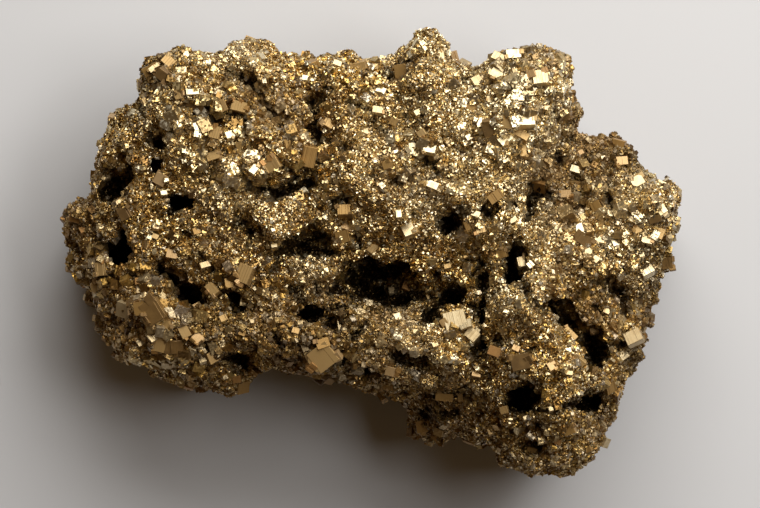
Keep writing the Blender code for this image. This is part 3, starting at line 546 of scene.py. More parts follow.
def addBlock(shape, crystal, low, high, chance, cut):
    values = crystalValues
    block = bmesh.new()
    size, middle = high - low, (high + low) / 2
    bmesh.ops.create_cube(block, size=1, matrix=Matrix.Translation(middle) @ Matrix.Diagonal((*size, 1)))
    if cut:
        corners = [
            corner for corner in block.verts if corner.co.z > 0 and chance.random() < values["cutChance"]
        ]
        for corner in corners:
            bmesh.ops.bevel(
                block, geom=[corner], affect="VERTICES", segments=1,
                offset=min(size) * values["cornerCut"] * chance.uniform(*values["cutSpread"]),
            )
    bmesh.ops.bevel(block, geom=list(block.edges), affect="EDGES", segments=1, offset=values["bevel"])
    block.normal_update()
    uvs = shape.loops.layers.uv["striation"]
    marks = {name: shape.verts.layers.float[name] for name in ("tone", "stripes")}
    uvShift = 40 * crystal["tone"]  # keeps the stripes of one crystal unlike the next
    placed = {}
    for vertex in block.verts:
        made = shape.verts.new(crystal["centre"] + crystal["rotation"] @ vertex.co)
        for name, layer in marks.items():
            made[layer] = crystal[name]
        placed[vertex] = made
    for face in block.faces:
        made = shape.faces.new([placed[vertex] for vertex in face.verts])
        axis = max(range(3), key=lambda i: abs(face.normal[i]))
        across, along = (axis + 1) % 3, (axis + 2) % 3
        for corner, source in zip(made.loops, face.loops):
            place = source.vert.co / mm
            corner[uvs].uv = (place[across] + uvShift, place[along])
    block.free()


# Low steps on the top of a crystal, each cut off along a random line
def addSteps(shape, crystal, chance):
    values = crystalValues
    half, rise, inset = crystal["half"], values["stepRise"], values["stepInset"]
    steps = values["stripedSteps"]
    if crystal["stripes"] < values["stripedFrom"]:
        steps = chance.choice(values["plainSteps"])
    for level in range(steps):
        low = Vector((-half.x * inset, -half.y * inset, half.z - rise))
        high = Vector((half.x * inset, half.y * inset, half.z + rise * (0.5 + 0.5 * level)))
        edge = half.x * chance.uniform(-values["stepReach"], values["stepReach"])
        if chance.random() < 0.5:
            low.x = edge
        else:
            high.x = edge
        if high.x - low.x > 4 * values["bevel"]:
            addBlock(shape, crystal, low, high, chance, cut=False)


def makeLargeCrystals(settled):
    chance = random.Random(crystalValues["seed"] + 1)
    shape = bmesh.new()
    shape.loops.layers.uv.new("striation")
    for name in ("tone", "stripes"):
        shape.verts.layers.float.new(name)
    for crystal in settled:
        addBlock(shape, crystal, -crystal["half"], crystal["half"], chance, cut=True)
        addSteps(shape, crystal, chance)
    large = linkObject("large_crystals", meshFrom(shape, "large crystals"))
    paintZones(large.data)
    print("large crystals:", len(settled), "with", countTriangles(large.data), "triangles")
    return large


# The skin between the crystals

skinValues = {
    "grain": 0.70 * mm,
    "clearance": 0.25 * mm,
    "lowest": 0.02 * mm,
    # the relief fades out beside the crystals
    "calmReach": 1.6 * mm,
    "sinkFade": 1.6,
    # the skin is pulled into a crystal to this share of its half width, or this depth
    "tuckShare": 0.4,
    "tuckDepth": 0.35 * mm,
    # seams
    "seamEdge": 1.15,
    "seamSharpness": 1.5,
    "seamDepth": 0.7,
    "raggedSize": 1.1 * mm,
    "raggedShare": 0.55,
    # how shut in each point is
    "hollowGrain": 1.25 * mm,
    "hollowRays": 26,
    "hollowReach": 16 * mm,
    "hollowFade": 0.6,
    "hollowSeed": 3,
    "probeLift": 0.35 * mm,
    "grazing": 0.15,
    "cavitySteps": 7,
}

reliefValues = {
    "Lump size": 5.0 * mm,
    "Lump height": 1.5 * mm,
    "Block size": 2.4 * mm,
    "Block height": 1.3 * mm,
    "Grit size": 1.0 * mm,
    "Grit height": 0.5 * mm,
}

# How deep each seam is in mm, then the x, y and half width of the points along it. Each seam is sunk and
# also painted dark with painted shade
seams = [
    # upper left
    (1.2, [(-25.4, 34.6, 0.6), (-24.0, 32.8, 0.8), (-22.4, 31.2, 0.8), (-21.0, 29.8, 0.5)]),
    (1.4, [(-20.6, 29.2, 0.5), (-18.4, 26, 0.5), (-17.2, 24.2, 0.6), (-15.7, 22.6, 0.7),
        (-15.6, 20.6, 0.5)]),
    (1.2, [(-34.3, 26.9, 0.6), (-32.4, 26.0, 0.8)]),
    (1.4, [(-42.9, 23.7, 0.4), (-42, 21.8, 0.6), (-40.6, 19.9, 0.4)]),
    (1.0, [(-29.6, 26.9, 0.5), (-27.4, 26.4, 0.5), (-25.4, 26.9, 0.6), (-23.8, 25.3, 0.5)]),
    (1.4, [(-42, 17.4, 0.5), (-40.6, 17.4, 0.7)]),
    (2.0, [(-39, 10.3, 1.1), (-36.8, 9.7, 1.2), (-35.2, 9.4, 0.9)]),
    (1.6, [(-24.8, 14.6, 0.5), (-22.2, 13, 0.5), (-20.4, 12.2, 0.6), (-18.6, 11.3, 0.6),
        (-16.6, 11.2, 0.6)]),
    (1.8, [(-16.6, 11.2, 0.6), (-14.8, 12.4, 0.9), (-12.7, 13.2, 1.0)]),
    (1.4, [(-15.2, 16, 0.6), (-14.6, 14.4, 0.8)]), (1.2, [(-25, 15.8, 0.5), (-24.2, 14.4, 0.7)]),
    (1.2, [(-17, 17, 0.8), (-16.4, 16.4, 0.7)]),
    (1.6, [(-11.2, 29.4, 0.4), (-10.8, 27, 0.5), (-10.8, 25, 0.7), (-12, 23.8, 1.0)]),
    (1.4, [(-10.3, 24, 0.7), (-10.1, 20.5, 0.6), (-10.5, 17.2, 0.5)]),
    (1.2, [(-26.4, 5.4, 0.6), (-24.6, 5.5, 0.7), (-23.4, 4.6, 0.6), (-22.8, 2.8, 0.6), (-23.8, 1.2, 0.5)]),
    (1.2, [(-36.4, 3.8, 0.6), (-35.2, 3.6, 0.7)]), (1.2, [(-45, 29, 0.7), (-44, 26.6, 0.8)]),
    # top middle
    (1.0, [(-8.7, 31.9, 0.5), (-7.2, 31.4, 0.5)]), (1.0, [(6, 36.8, 0.5), (8.4, 37, 0.5)]),
    (1.5, [(-4.2, 29.4, 0.7), (-3.2, 28.4, 0.8), (-1.4, 28, 0.7), (-0.1, 27.2, 0.6)]),
    (1.2, [(4, 33.6, 0.6), (4.7, 34, 0.6)]),
    (1.8, [(9.7, 27.8, 0.6), (9.9, 25.4, 0.8), (10.8, 22.6, 0.5)]),
    (1.8, [(9.6, 18.6, 0.8), (11.4, 17.8, 1.4), (12.4, 16.6, 0.8)]),
    (1.2, [(11.4, 14.2, 0.5), (12.6, 15, 0.7)]),
    (2.4, [(-7, 10, 1.0), (-5.6, 10.4, 1.2), (-4.4, 10.2, 0.9)]),
    (1.2, [(-7.4, 9.2, 0.6), (-6.9, 8.2, 0.7)]), (2.0, [(-3, 3.4, 1.0), (-2.4, 1.6, 1.2)]),
    (2.2, [(17.6, 8.4, 1.2), (16.4, 6.4, 1.7), (15.2, 4.6, 1.7)]),
    (1.8, [(21.4, 8.4, 0.5), (22.4, 7.6, 0.9)]), (1.2, [(26.4, 9, 0.7), (27.6, 9.3, 0.7)]),
    (1.6, [(28.2, 29.2, 0.5), (30.4, 29.2, 0.5)]), (1.2, [(28.9, 27.8, 0.5), (30.2, 27.6, 0.5)]),
    (1.2, [(30.8, 20.6, 0.5), (32.2, 20.5, 0.5)]), (1.2, [(35, 27, 0.8), (35.6, 25.6, 0.7)]),
    (2.2, [(31.6, 12.4, 1.5), (33.4, 11.4, 1.2), (35, 9.6, 0.8)]),
    (1.2, [(36.2, 19, 0.6), (36.8, 17.2, 0.6)]),
    # middle
    (3.0, [(-3, -4.8, 1.4), (-1.4, -7.2, 2.2), (1.2, -8.2, 2.2), (3.8, -9.2, 1.6), (6.8, -9.6, 1.3)]),
    (2.4, [(-1.6, -3.8, 1.3), (2, -4, 1.6), (5.4, -3.4, 1.0)]),
    (2.6, [(15.2, -8.6, 1.4), (16.8, -8, 1.2)]),
    (2.6, [(11.4, -12.4, 1.4), (13, -11.4, 1.5), (14, -9.8, 1.2)]),
    (2.0, [(19.2, -10.2, 0.7), (20.8, -10.8, 0.8), (21.6, -13, 0.6), (21.1, -15.6, 0.5),
        (21.9, -17.8, 0.5)]),
    (1.6, [(24.2, -7.2, 0.8), (23, -8.6, 0.8), (21.8, -10, 1.0)]),
    (1.8, [(21.8, -2, 0.5), (20.6, -3, 0.6), (19.4, -4.4, 0.8)]),
    (2.4, [(-1, -13.8, 0.8), (-2.4, -15.4, 1.0), (-3.4, -16.4, 0.8)]),
    (1.6, [(24, -17.2, 0.7), (25, -17.6, 0.7)]),
    (2.4, [(-13.8, -11.7, 1.0), (-11.6, -12.4, 1.4), (-9.6, -11.6, 1.1), (-7.2, -10.8, 0.8),
        (-5.4, -10.8, 0.7)]),
    (1.8, [(-7.2, -18.8, 0.7), (-5.7, -19.4, 0.8), (-5.4, -21.2, 0.7)]),
    (1.2, [(-1.8, -22.4, 0.7), (-0.6, -22.8, 0.7)]), (1.8, [(-18.4, -16.4, 0.9), (-17.4, -17.5, 0.9)]),
    (1.4, [(25.4, -21, 0.7), (26.2, -21.6, 0.6)]),
    # left
    (1.6, [(-18.6, 0.3, 0.5), (-16.4, 0.3, 0.9), (-13.4, 0.6, 1.1), (-10.4, 0.2, 0.9), (-7.4, -0.2, 0.5)]),
    (2.6, [(-40.6, -3.8, 0.9), (-38.8, -4.4, 1.5), (-36.6, -6.4, 1.0), (-35, -8.2, 1.3),
        (-33.8, -9.8, 1.6)]),
    (1.8, [(-33.8, -9.8, 1.6), (-34.2, -12.2, 1.0)]),
    (1.4, [(-46.6, -4.4, 0.7), (-43, -4.6, 0.5), (-41, -4.4, 0.6)]),
    (1.8, [(-33, -0.4, 0.7), (-31.6, -2, 0.7), (-30, -3.6, 0.8), (-28.6, -5, 0.7)]),
    (1.6, [(-28.6, -7.6, 0.7), (-26.4, -7.6, 0.7), (-25.2, -8.8, 0.7)]),
    (1.6, [(-31.8, -17.6, 0.8), (-30.8, -19.2, 0.6)]),
    (2.2, [(-28.6, -20.2, 0.8), (-26.6, -20.2, 1.1), (-24.4, -21.2, 1.2)]),
    (1.4, [(-35.2, -20.6, 0.7), (-34.4, -21.4, 0.7)]),
    (1.6, [(-52.4, -4.9, 0.6), (-50, -4.5, 0.7), (-49.2, -3.6, 0.6)]),
    (1.4, [(-46.8, -15.2, 0.7), (-46.2, -13.6, 0.6)]), (1.2, [(-54.2, 8.8, 0.7), (-53.2, 7.4, 0.6)]),
    (1.4, [(-49.2, 14.4, 0.6), (-48, 12.4, 1.2), (-47, 11, 0.8)]),
    # right
    (2.5, [(27.2, 0.6, 0.9), (27.2, -2, 1.4), (26.9, -4.6, 1.5), (28.6, -5.8, 1.1), (30.2, -8, 1.2),
        (31.4, -10, 1.0)]),
    (2.0, [(31.4, -10, 1.0), (33.4, -11, 1.0)]),
    (1.4, [(36.6, -11, 0.6), (38.2, -13, 0.7), (39.8, -14.2, 0.5)]),
    (2.0, [(42.2, -15.8, 1.0), (42.8, -18.4, 1.2), (43.4, -20.6, 1.0), (44.4, -22, 0.6)]),
    (1.6, [(46, -17.8, 0.8), (48.6, -17.6, 0.9)]), (1.6, [(34, -9.4, 1.0), (35.8, -9.6, 0.9)]),
    (2.4, [(27.2, -30, 1.1), (28.2, -28.4, 1.5), (29.2, -26.4, 1.0)]),
    (2.2, [(37.4, -29.6, 0.9), (40, -29, 1.2), (43.6, -28.4, 0.8)]),
    (1.8, [(28.6, -30.2, 0.7), (31.4, -30.2, 0.5), (34.6, -30.2, 0.6), (37.4, -29.6, 0.7)]),
    (1.8, [(31, -38, 0.9), (32.6, -37.4, 0.8)]),
    (1.8, [(11, -31.4, 1.8), (13.4, -31.6, 1.6), (16.4, -31, 1.3)]),
    (1.2, [(12.4, -27.4, 0.7), (16.6, -27.6, 0.8)]), (1.4, [(50.6, 1.4, 0.8), (51.2, 0.6, 0.7)]),
    (1.4, [(47.2, -7.2, 0.7), (48.6, -7.2, 0.7)]), (1.2, [(45.8, -5.4, 0.6), (46.6, -5.2, 0.6)]),
    (1.2, [(54.6, 7.4, 0.7), (55.8, 6.2, 0.8)]), (1.2, [(57.4, 8.4, 0.6), (58.2, 8.3, 0.6)]),
    (1.4, [(45.6, 13, 0.7), (46, 10.8, 0.8), (46.4, 9, 0.7), (47, 7.4, 0.6)]),
    (1.2, [(43.4, -10.6, 0.9), (44.6, -12.4, 0.8)]), (1.2, [(43, -2.6, 0.8), (41.4, -2.6, 0.8)]),
    (1.2, [(33.4, -33.6, 0.8), (31.8, -33, 0.7)]),
]


def makeReliefTree():
    tree, given, result = openTree("relief", reliefValues)

    def pattern(kind, vector, label, **settings):
        scale = mathNode(tree, "DIVIDE", 1.0, given[label])
        return addNode(tree, kind, {"Vector": vector, "Scale": scale}, **settings).outputs

    place = addNode(tree, "GeometryNodeInputPosition").outputs[0]
    turned = addNode(tree, "ShaderNodeVectorRotate", {
        "Vector": place, "Rotation": (0.5, 0.35, 0.6),
    }, rotation_type="EULER_XYZ")
    lumps = pattern("ShaderNodeTexVoronoi", place, "Lump size")
    blocks = pattern("ShaderNodeTexVoronoi", turned.outputs[0], "Block size", distance="CHEBYCHEV")
    lump = sloped(tree, lumps["Distance"], -2.0, 0.9)
    block = mathNode(tree, "SUBTRACT", splitParts(tree, blocks["Color"])[0], 0.5)
    grit = mathNode(tree, "SUBTRACT", pattern("ShaderNodeTexNoise", place, "Grit size")[0], 0.5)
    height = product(tree, lump, given["Lump height"])
    height = sloped(tree, block, given["Block height"], height)
    height = sloped(tree, grit, given["Grit height"], height)
    height = product(tree, height, namedValue(tree, "calm"))
    normal = addNode(tree, "GeometryNodeInputNormal").outputs[0]
    offset = vectorNode(tree, "SCALE", {0: normal, "Scale": height})
    moved = addNode(tree, "GeometryNodeSetPosition", {"Geometry": given["Geometry"], "Offset": offset})
    putIn(tree, result, 0, moved.outputs[0])
    return tree


# How far each point is from the crystals, and the points with those near one pulled inside it
def insideCrystals(points, settled, reach):
    nearest = np.full(len(points), reach)
    pulled = points.copy()
    for crystal in settled:
        rotation, half, centre = (np.array(crystal[name]) for name in ("rotation", "half", "centre"))
        widest = half.max() * 1.8 + reach  # farther than any corner
        near = np.nonzero(np.linalg.norm(points - centre, axis=1) < widest)[0]
        local = (points[near] - centre) @ rotation
        gap = np.linalg.norm(np.maximum(np.abs(local) - half, 0), axis=1)
        nearest[near] = np.minimum(nearest[near], gap)
        close = gap < skinValues["clearance"]
        inner = half - np.minimum(half * skinValues["tuckShare"], skinValues["tuckDepth"])
        kept = np.clip(local[close], -inner, inner)
        pulled[near[close]] = kept @ rotation.T + centre
    return nearest / reach, pulled


# Each seam sinks the skin along its path and gives it painted shade
def measureSeams(points, normals):
    values = skinValues
    ragged = np.array([noise.noise(Vector(point) / values["raggedSize"]) for point in points])
    flat = points[:, :2] / mm - np.array(outlineShift)
    shade, sink = np.zeros(len(points)), np.zeros(len(points))
    for depth, path in seams:
        for first, second in zip(path, path[1:]):
            start, way = np.array(first[:2]), np.array(second[:2]) - np.array(first[:2])
            part = np.clip((flat - start) @ way / (way @ way), 0, 1)
            reach = first[2] + part * (second[2] - first[2])
            away = np.linalg.norm(flat - start - part[:, None] * way, axis=1) / reach
            inside = values["seamEdge"] + values["raggedShare"] * ragged - away
            strength = np.clip(inside * values["seamSharpness"], 0, 1)
            shade = np.maximum(shade, strength)
            sink = np.maximum(sink, values["seamDepth"] * depth * strength)
    seenFromAbove = np.clip(normals[:, 2] * 2 + 0.6, 0, 1)
    return shade * seenFromAbove, sink * seenFromAbove


# Rays from a coarse copy of the skin tell how shut in each of its points is
def measureHollows(source):
    values = skinValues
    coarse = linkObject("hollow probe", source.data.copy())
    remesh(coarse, values["hollowGrain"])
    surface = BVHTree.FromObject(coarse, bpy.context.evaluated_depsgraph_get())
    chance = random.Random(values["hollowSeed"])
    rays = []
    while len(rays) < values["hollowRays"]:
        way = Vector([chance.uniform(-1, 1) for _ in range(3)])
        if 0.1 < way.length < 1:
            rays.append(way.normalized())
    tree = KDTree(len(coarse.data.vertices))
    shut = []
    for vertex in coarse.data.vertices:
        start = vertex.co + vertex.normal * values["probeLift"]
        hits, cast = 0.0, 0
        for way in rays:
            if way.dot(vertex.normal) < values["grazing"]:
                continue
            cast += 1
            distance = surface.ray_cast(start, way, values["hollowReach"])[3]
            if distance is not None:
                hits += 1 - values["hollowFade"] * distance / values["hollowReach"]
        shut.append(hits / max(cast, 1))
        tree.insert(vertex.co, vertex.index)
    tree.balance()
    bpy.data.objects.remove(coarse)
    return tree, np.array(shut)


# How far the skin lies below its own smoothed shape, in mm
def measureCavities(mesh):
    points = readVectors(mesh.vertices)
    normals = readVectors(mesh.vertex_normals, "vector")
    ends = np.empty(len(mesh.edges) * 2, dtype=np.int64)
    mesh.edges.foreach_get("vertices", ends)
    one, other = ends[0::2], ends[1::2]
    count = np.bincount(ends, minlength=len(points))[:, None]
    smooth = points.copy()
    for _ in range(skinValues["cavitySteps"]):
        total = np.zeros_like(smooth)
        for axis in range(3):
            total[:, axis] = np.bincount(one, smooth[other, axis], len(points))
            total[:, axis] += np.bincount(other, smooth[one, axis], len(points))
        smooth = total / np.maximum(count, 1)
    return ((smooth - points) * normals).sum(axis=1) / mm


def makeSkin(mesh, settled):
    values = skinValues
    skin = linkObject("pyrite_skin", mesh)
    remesh(skin, values["grain"])
    calm, _ = insideCrystals(readVectors(skin.data.vertices), settled, values["calmReach"])
    writeAttribute(skin.data, "calm", calm)
    runTree(skin, makeReliefTree(), reliefValues)
    points = readVectors(skin.data.vertices)
    shade, sink = measureSeams(points, readVectors(skin.data.vertex_normals, "vector"))
    points[:, 2] -= sink * np.clip(calm * values["sinkFade"], 0, 1) * mm
    movePoints(skin.data, points)
    cavity = measureCavities(skin.data)
    tree, shut = measureHollows(skin)
    hollow = [sum(shut[found[1]] for found in tree.find_n(point, 3)) / 3 for point in points]
    bare, points = insideCrystals(points, settled, values["clearance"])
    points[:, 2] = np.maximum(points[:, 2], values["lowest"])
    movePoints(skin.data, points)
    # Painted shade patches minus painted light patches, added to the painted shade of the seams
    zones = zoneStrength(points, paintedShadeZones) - zoneStrength(points, paintedLightZones)
    measured = {
        "shade": shade + zones, "hollow": hollow, "cavity": cavity, "clear": bare,
        "coarse": zoneStrength(points, coarseZones),
    }
    for name, found in measured.items():
        writeAttribute(skin.data, name, found)
    paintZones(skin.data)
    print("skin:", countTriangles(skin.data), "triangles")
    return skin


# The small crystals that cover the skin: cube corners where fine, whole cubes otherwise

druseValues = {
    "fine": {
        "Crystals per area": 10.0 / mm ** 2, "Least distance": 0.22 * mm,
        "Smallest edge": 0.24 * mm, "Largest edge": 0.58 * mm, "Rarity of large": 1.7,
        "Share where fine": 1.0, "Growth where coarse": 0.35, "Seed": 4,
    },
    "small": {
        "Crystals per area": 1.5 / mm ** 2, "Least distance": 0.45 * mm,
        "Smallest edge": 0.32 * mm, "Largest edge": 0.85 * mm, "Rarity of large": 1.8,
        "Share where fine": 0.8, "Growth where coarse": 0.4, "Seed": 13,
    },
    "medium": {
        "Crystals per area": 0.55 / mm ** 2, "Least distance": 0.8 * mm,
        "Smallest edge": 0.75 * mm, "Largest edge": 1.7 * mm, "Rarity of large": 1.8,
        "Share where fine": 0.12, "Growth where coarse": 0.35, "Seed": 21,
    },
}
druseSlices = [(-70, -31), (-31, -4), (-4, 22), (22, 70)]
druseShape = {
    "cubeCorner": {"Vertices": 3, "Radius Top": 0.0, "Radius Bottom": 0.9, "Depth": 0.64},
    "cornerTip": 0.75,
    "stretch": (0.7, 1.3),
    "offBase": 0.9 * mm,
    "shadeThins": -0.6,
    "shutShrinks": 0.45,
}


def makeDruseTree(name, material):
    shape = druseShape
    tree, given, result = openTree(name + " druse", [*druseValues[name], "From x", "To x"])

    def chance(shift, *limits):
        values = {**dict(enumerate(limits)), "Seed": mathNode(tree, "ADD", given["Seed"], shift)}
        kind = "FLOAT_VECTOR" if limits else "FLOAT"
        node = addNode(tree, "FunctionNodeRandomValue", values, data_type=kind)
        return node.outputs[0 if limits else 1]

    x, _, z = splitParts(tree, addNode(tree, "GeometryNodeInputPosition").outputs[0])[:3]
    facingUp = splitParts(tree, addNode(tree, "GeometryNodeInputNormal").outputs[0])[2]
    coarse = namedValue(tree, "coarse")
    shut = sloped(tree, namedValue(tree, "cavity"), 0.5, namedValue(tree, "hollow"))
    openness = sloped(tree, shut, -1.0, 1.3, clamp=True)
    limits = [
        mathNode(tree, "GREATER_THAN", x, given["From x"]),
        mathNode(tree, "LESS_THAN", x, given["To x"]),
        mathNode(tree, "GREATER_THAN", z, shape["offBase"]),
        mathNode(tree, "GREATER_THAN", namedValue(tree, "clear"), 0.5),
    ]
    upward = sloped(tree, facingUp, 0.55, 0.62, clamp=True)
    lowDown = sloped(tree, z, 30.0, 0.35, clamp=True)
    spread = mathNode(tree, "SUBTRACT", 1.0, given["Share where fine"])
    zone = sloped(tree, coarse, spread, given["Share where fine"])
    unshaded = sloped(tree, namedValue(tree, "shade"), shape["shadeThins"], 1.0)
    share = product(tree, *limits, product(tree, upward, lowDown), zone, unshaded)
    share = mathNode(tree, "MULTIPLY", share, openness, clamp=True)
    scatter = addNode(tree, "GeometryNodeDistributePointsOnFaces", {
        "Mesh": given["Geometry"], "Distance Min": given["Least distance"],
        "Density Max": given["Crystals per area"], "Density Factor": share, "Seed": given["Seed"],
    }, distribute_method="POISSON")
    marked = addNode(tree, "GeometryNodeStoreNamedAttribute", {
        "Geometry": scatter.outputs["Points"], "Name": "tone", "Value": chance(0.0),
    }, data_type="FLOAT", domain="POINT")

    corner = name == "fine"
    if corner:
        crystal = addNode(tree, "GeometryNodeMeshCone", shape["cubeCorner"], fill_type="NGON")
    else:
        crystal = addNode(tree, "GeometryNodeMeshCube", {"Size": (1, 1, 1)})
    tip = shape["cornerTip"] if corner else math.tau
    turn = chance(1.0, (-tip, -tip, 0), (tip, tip, math.tau))
    toRotation = addNode(tree, "FunctionNodeEulerToRotation", {0: turn})
    turned = addNode(tree, "FunctionNodeRotateRotation", {
        0: scatter.outputs["Rotation"], 1: toRotation.outputs[0],
    }, rotation_space="LOCAL")
    rare = mathNode(tree, "POWER", chance(2.0), given["Rarity of large"])
    sizeSpan = mathNode(tree, "SUBTRACT", given["Largest edge"], given["Smallest edge"])
    edge = sloped(tree, rare, sizeSpan, given["Smallest edge"])
    growth = sloped(tree, coarse, given["Growth where coarse"], 1.0)
    shrink = sloped(tree, openness, shape["shutShrinks"], 1 - shape["shutShrinks"])
    edge = product(tree, edge, growth, shrink)
    stretch = chance(3.0, *((limit, limit, limit) for limit in shape["stretch"]))
    grown = addNode(tree, "GeometryNodeInstanceOnPoints", {
        "Points": marked.outputs[0], "Instance": crystal.outputs["Mesh"],
        "Rotation": turned.outputs[0], "Scale": vectorNode(tree, "SCALE", {0: stretch, "Scale": edge}),
    })
    real = addNode(tree, "GeometryNodeRealizeInstances", {0: grown.outputs[0]})
    painted = addNode(tree, "GeometryNodeSetMaterial", {"Geometry": real.outputs[0], "Material": material})
    putIn(tree, result, 0, painted.outputs[0])
    return tree


def makeDruse(skin, name, material):
    tree = makeDruseTree(name, material)
    for number, (fromX, toX) in enumerate(druseSlices):
        druse = linkObject(f"{name}_druse_{number + 1}", skin.data)
        runTree(druse, tree, {**druseValues[name], "From x": fromX * mm, "To x": toX * mm})
        print(druse.name + ":", countTriangles(druse.data), "triangles")
        yield druse


# Materials

pyriteColours = {
    "umber": (0.15, 0.073, 0.013),
    "bronze": (0.36, 0.215, 0.065),
    "brass": (0.66, 0.49, 0.21),
    "straw": (0.86, 0.73, 0.46),
    "pale": (0.92, 0.81, 0.55),
    "tan": (0.46, 0.30, 0.115),
    "gold": (0.66, 0.53, 0.31),
    "bright": (0.78, 0.68, 0.46),
    "ochre": (0.56, 0.35, 0.08),
    "pewter": (0.50, 0.44, 0.34),
    "steel": (0.17, 0.10, 0.036),
    "rust": (0.38, 0.19, 0.055),
    "peach": (0.56, 0.38, 0.185),
    # The dark brown that tarnish and painted shade darken towards
    "tarnishAndShadeBrown": (0.20, 0.10, 0.022),
    # The near black that painted shade darkens towards
    "paintedShadow": (0.022, 0.010, 0.002),
}

# How much each measure of the skin adds to the painted shade on it: hollows, cavities, the rims of the
# crystals and the seams are darkened where shade falls, and painted sheen takes some away
paintedShadeValues = {"cavity": 0.55, "shadeBesideCrystals": 0.4, "paintedSheen": -0.3, "shade": 0.8, "most": 0.9}

smallFinish = {
    "paintedSheen": 0.6,
    "tarnishAndShade": 0.7,
    "paintedShade": (2.1, -0.5),
    "metal": 0.95,
    "roughness": 0.21,
    "facetScale": 2800.0,
    "facetLean": 0.32,
}

largeFinish = {
    "stripesPerMm": 4.2,
    "stripeDetail": 2.5,
    "stripeRoughness": 0.65,
    "filmScale": 700.0,
    "film": 0.3,
    "stripeShade": 0.75,
    "tarnishAndShade": 0.3,
    "metal": 0.5,
    "roughness": 0.43,
    "unevenScale": 1600.0,
    "bump": 0.5,
    "bumpHeight": 0.03 * mm,
}

groundFinish = {
    "tarnishAndShade": 0.6,
    "paintedShade": (2.6, -0.42),
    "metal": 0.9,
    "roughness": 0.3,
    "facetScale": 2600.0,
    "facetLean": 0.75,
}


def newMaterial(name):
    material = bpy.data.materials.new(name)
    material.use_nodes = True
    tree = material.node_tree
    return material, tree, tree.nodes["Principled BSDF"]


def attributeNode(tree, name, output="Fac"):
    node = addNode(tree, "ShaderNodeAttribute", attribute_name=name, attribute_type="GEOMETRY")
    return node.outputs[output]


def rampNode(tree, value, stops):
    node = addNode(tree, "ShaderNodeValToRGB", {"Fac": value})
    ramp = node.color_ramp
    while len(ramp.elements) < len(stops):
        ramp.elements.new(0.5)
    for element, (position, colour) in zip(ramp.elements, stops):
        element.position = position
        element.color = (*pyriteColours[colour], 1) if isinstance(colour, str) else (colour,) * 3 + (1,)
    return node.outputs["Color"]


def mixInto(tree, base, share, colour, strength=None):
    if strength is not None:
        share = product(tree, share, strength)
    mixed = {0: share, 6: base, 7: (*pyriteColours[colour], 1)}
    return addNode(tree, "ShaderNodeMix", mixed, data_type="RGBA").outputs[2]


def objectPlace(tree):
    return addNode(tree, "ShaderNodeTexCoord").outputs["Object"]


def noiseNode(tree, vector, scale, detail):
    given = {"Vector": vector, "Scale": scale, "Detail": detail}
    return addNode(tree, "ShaderNodeTexNoise", given).outputs[0]


# Small facets: each cell of a cubic pattern leans its own way
def facetNormal(tree, scale, lean):
    given = {"Vector": objectPlace(tree), "Scale": scale}
    cells = addNode(tree, "ShaderNodeTexVoronoi", given, feature="F1", distance="CHEBYCHEV")
    leaning = vectorNode(tree, "MULTIPLY_ADD", {
        0: cells.outputs["Color"], 1: (2 * lean,) * 3, 2: (-lean,) * 3,
    })
    normal = addNode(tree, "ShaderNodeNewGeometry").outputs["Normal"]
    total = vectorNode(tree, "ADD", {0: leaning, 1: normal})
    return vectorNode(tree, "NORMALIZE", {0: total}), cells.outputs["Color"]


# Painted shade: darker in hollows and cavities, beside the crystals and along the seams, less where
# painted sheen lies
def paintedShadeShare(tree, amount, start):
    values = paintedShadeValues
    shut = sloped(tree, attributeNode(tree, "cavity"), values["cavity"], attributeNode(tree, "hollow"))
    # A painted contact shadow round the rim of each crystal
    beside = sloped(tree, attributeNode(tree, "calm"), -2.2, 1.0, clamp=True)
    paintedShade = sloped(tree, shut, amount, start, clamp=True)
    paintedShade = sloped(tree, beside, values["shadeBesideCrystals"], paintedShade)
    paintedShade = sloped(tree, attributeNode(tree, "paintedSheen"), values["paintedSheen"], paintedShade)
    paintedShade = sloped(tree, attributeNode(tree, "shade"), values["shade"], paintedShade, clamp=True)
    return product(tree, paintedShade, values["most"])


def makeSmallMaterial():
    values = smallFinish
    material, tree, surface = newMaterial("crystal faces")
    tone = attributeNode(tree, "tone")
    tarnishAndShade = attributeNode(tree, "tarnishAndShade")
    base = rampNode(tree, tone, [
        (0.0, "umber"), (0.16, "bronze"), (0.28, "ochre"), (0.42, "brass"), (0.66, "straw"),
        (0.80, "pewter"), (0.88, "tan"), (0.95, "steel"), (1.0, "brass"),
    ])
    # Painted sheen: paler where more light falls
    base = mixInto(tree, base, attributeNode(tree, "paintedSheen"), "pale", values["paintedSheen"])
    # Tarnish and painted shade darken the colour
    base = mixInto(tree, base, tarnishAndShade, "tarnishAndShadeBrown", values["tarnishAndShade"])
    paintedShade = paintedShadeShare(tree, *values["paintedShade"])
    rough = sloped(tree, tone, 0.14, values["roughness"])
    rough = sloped(tree, tarnishAndShade, 0.14, rough)
    # Painted shade darkens the colour towards near black
    putIn(tree, surface, "Base Color", mixInto(tree, base, paintedShade, "paintedShadow"))
    putIn(tree, surface, "Metallic", sloped(tree, tarnishAndShade, -0.3, values["metal"]))
    putIn(tree, surface, "Roughness", sloped(tree, paintedShade, 0.3, rough))
    putIn(tree, surface, "Normal", facetNormal(tree, values["facetScale"], values["facetLean"])[0])
    return material


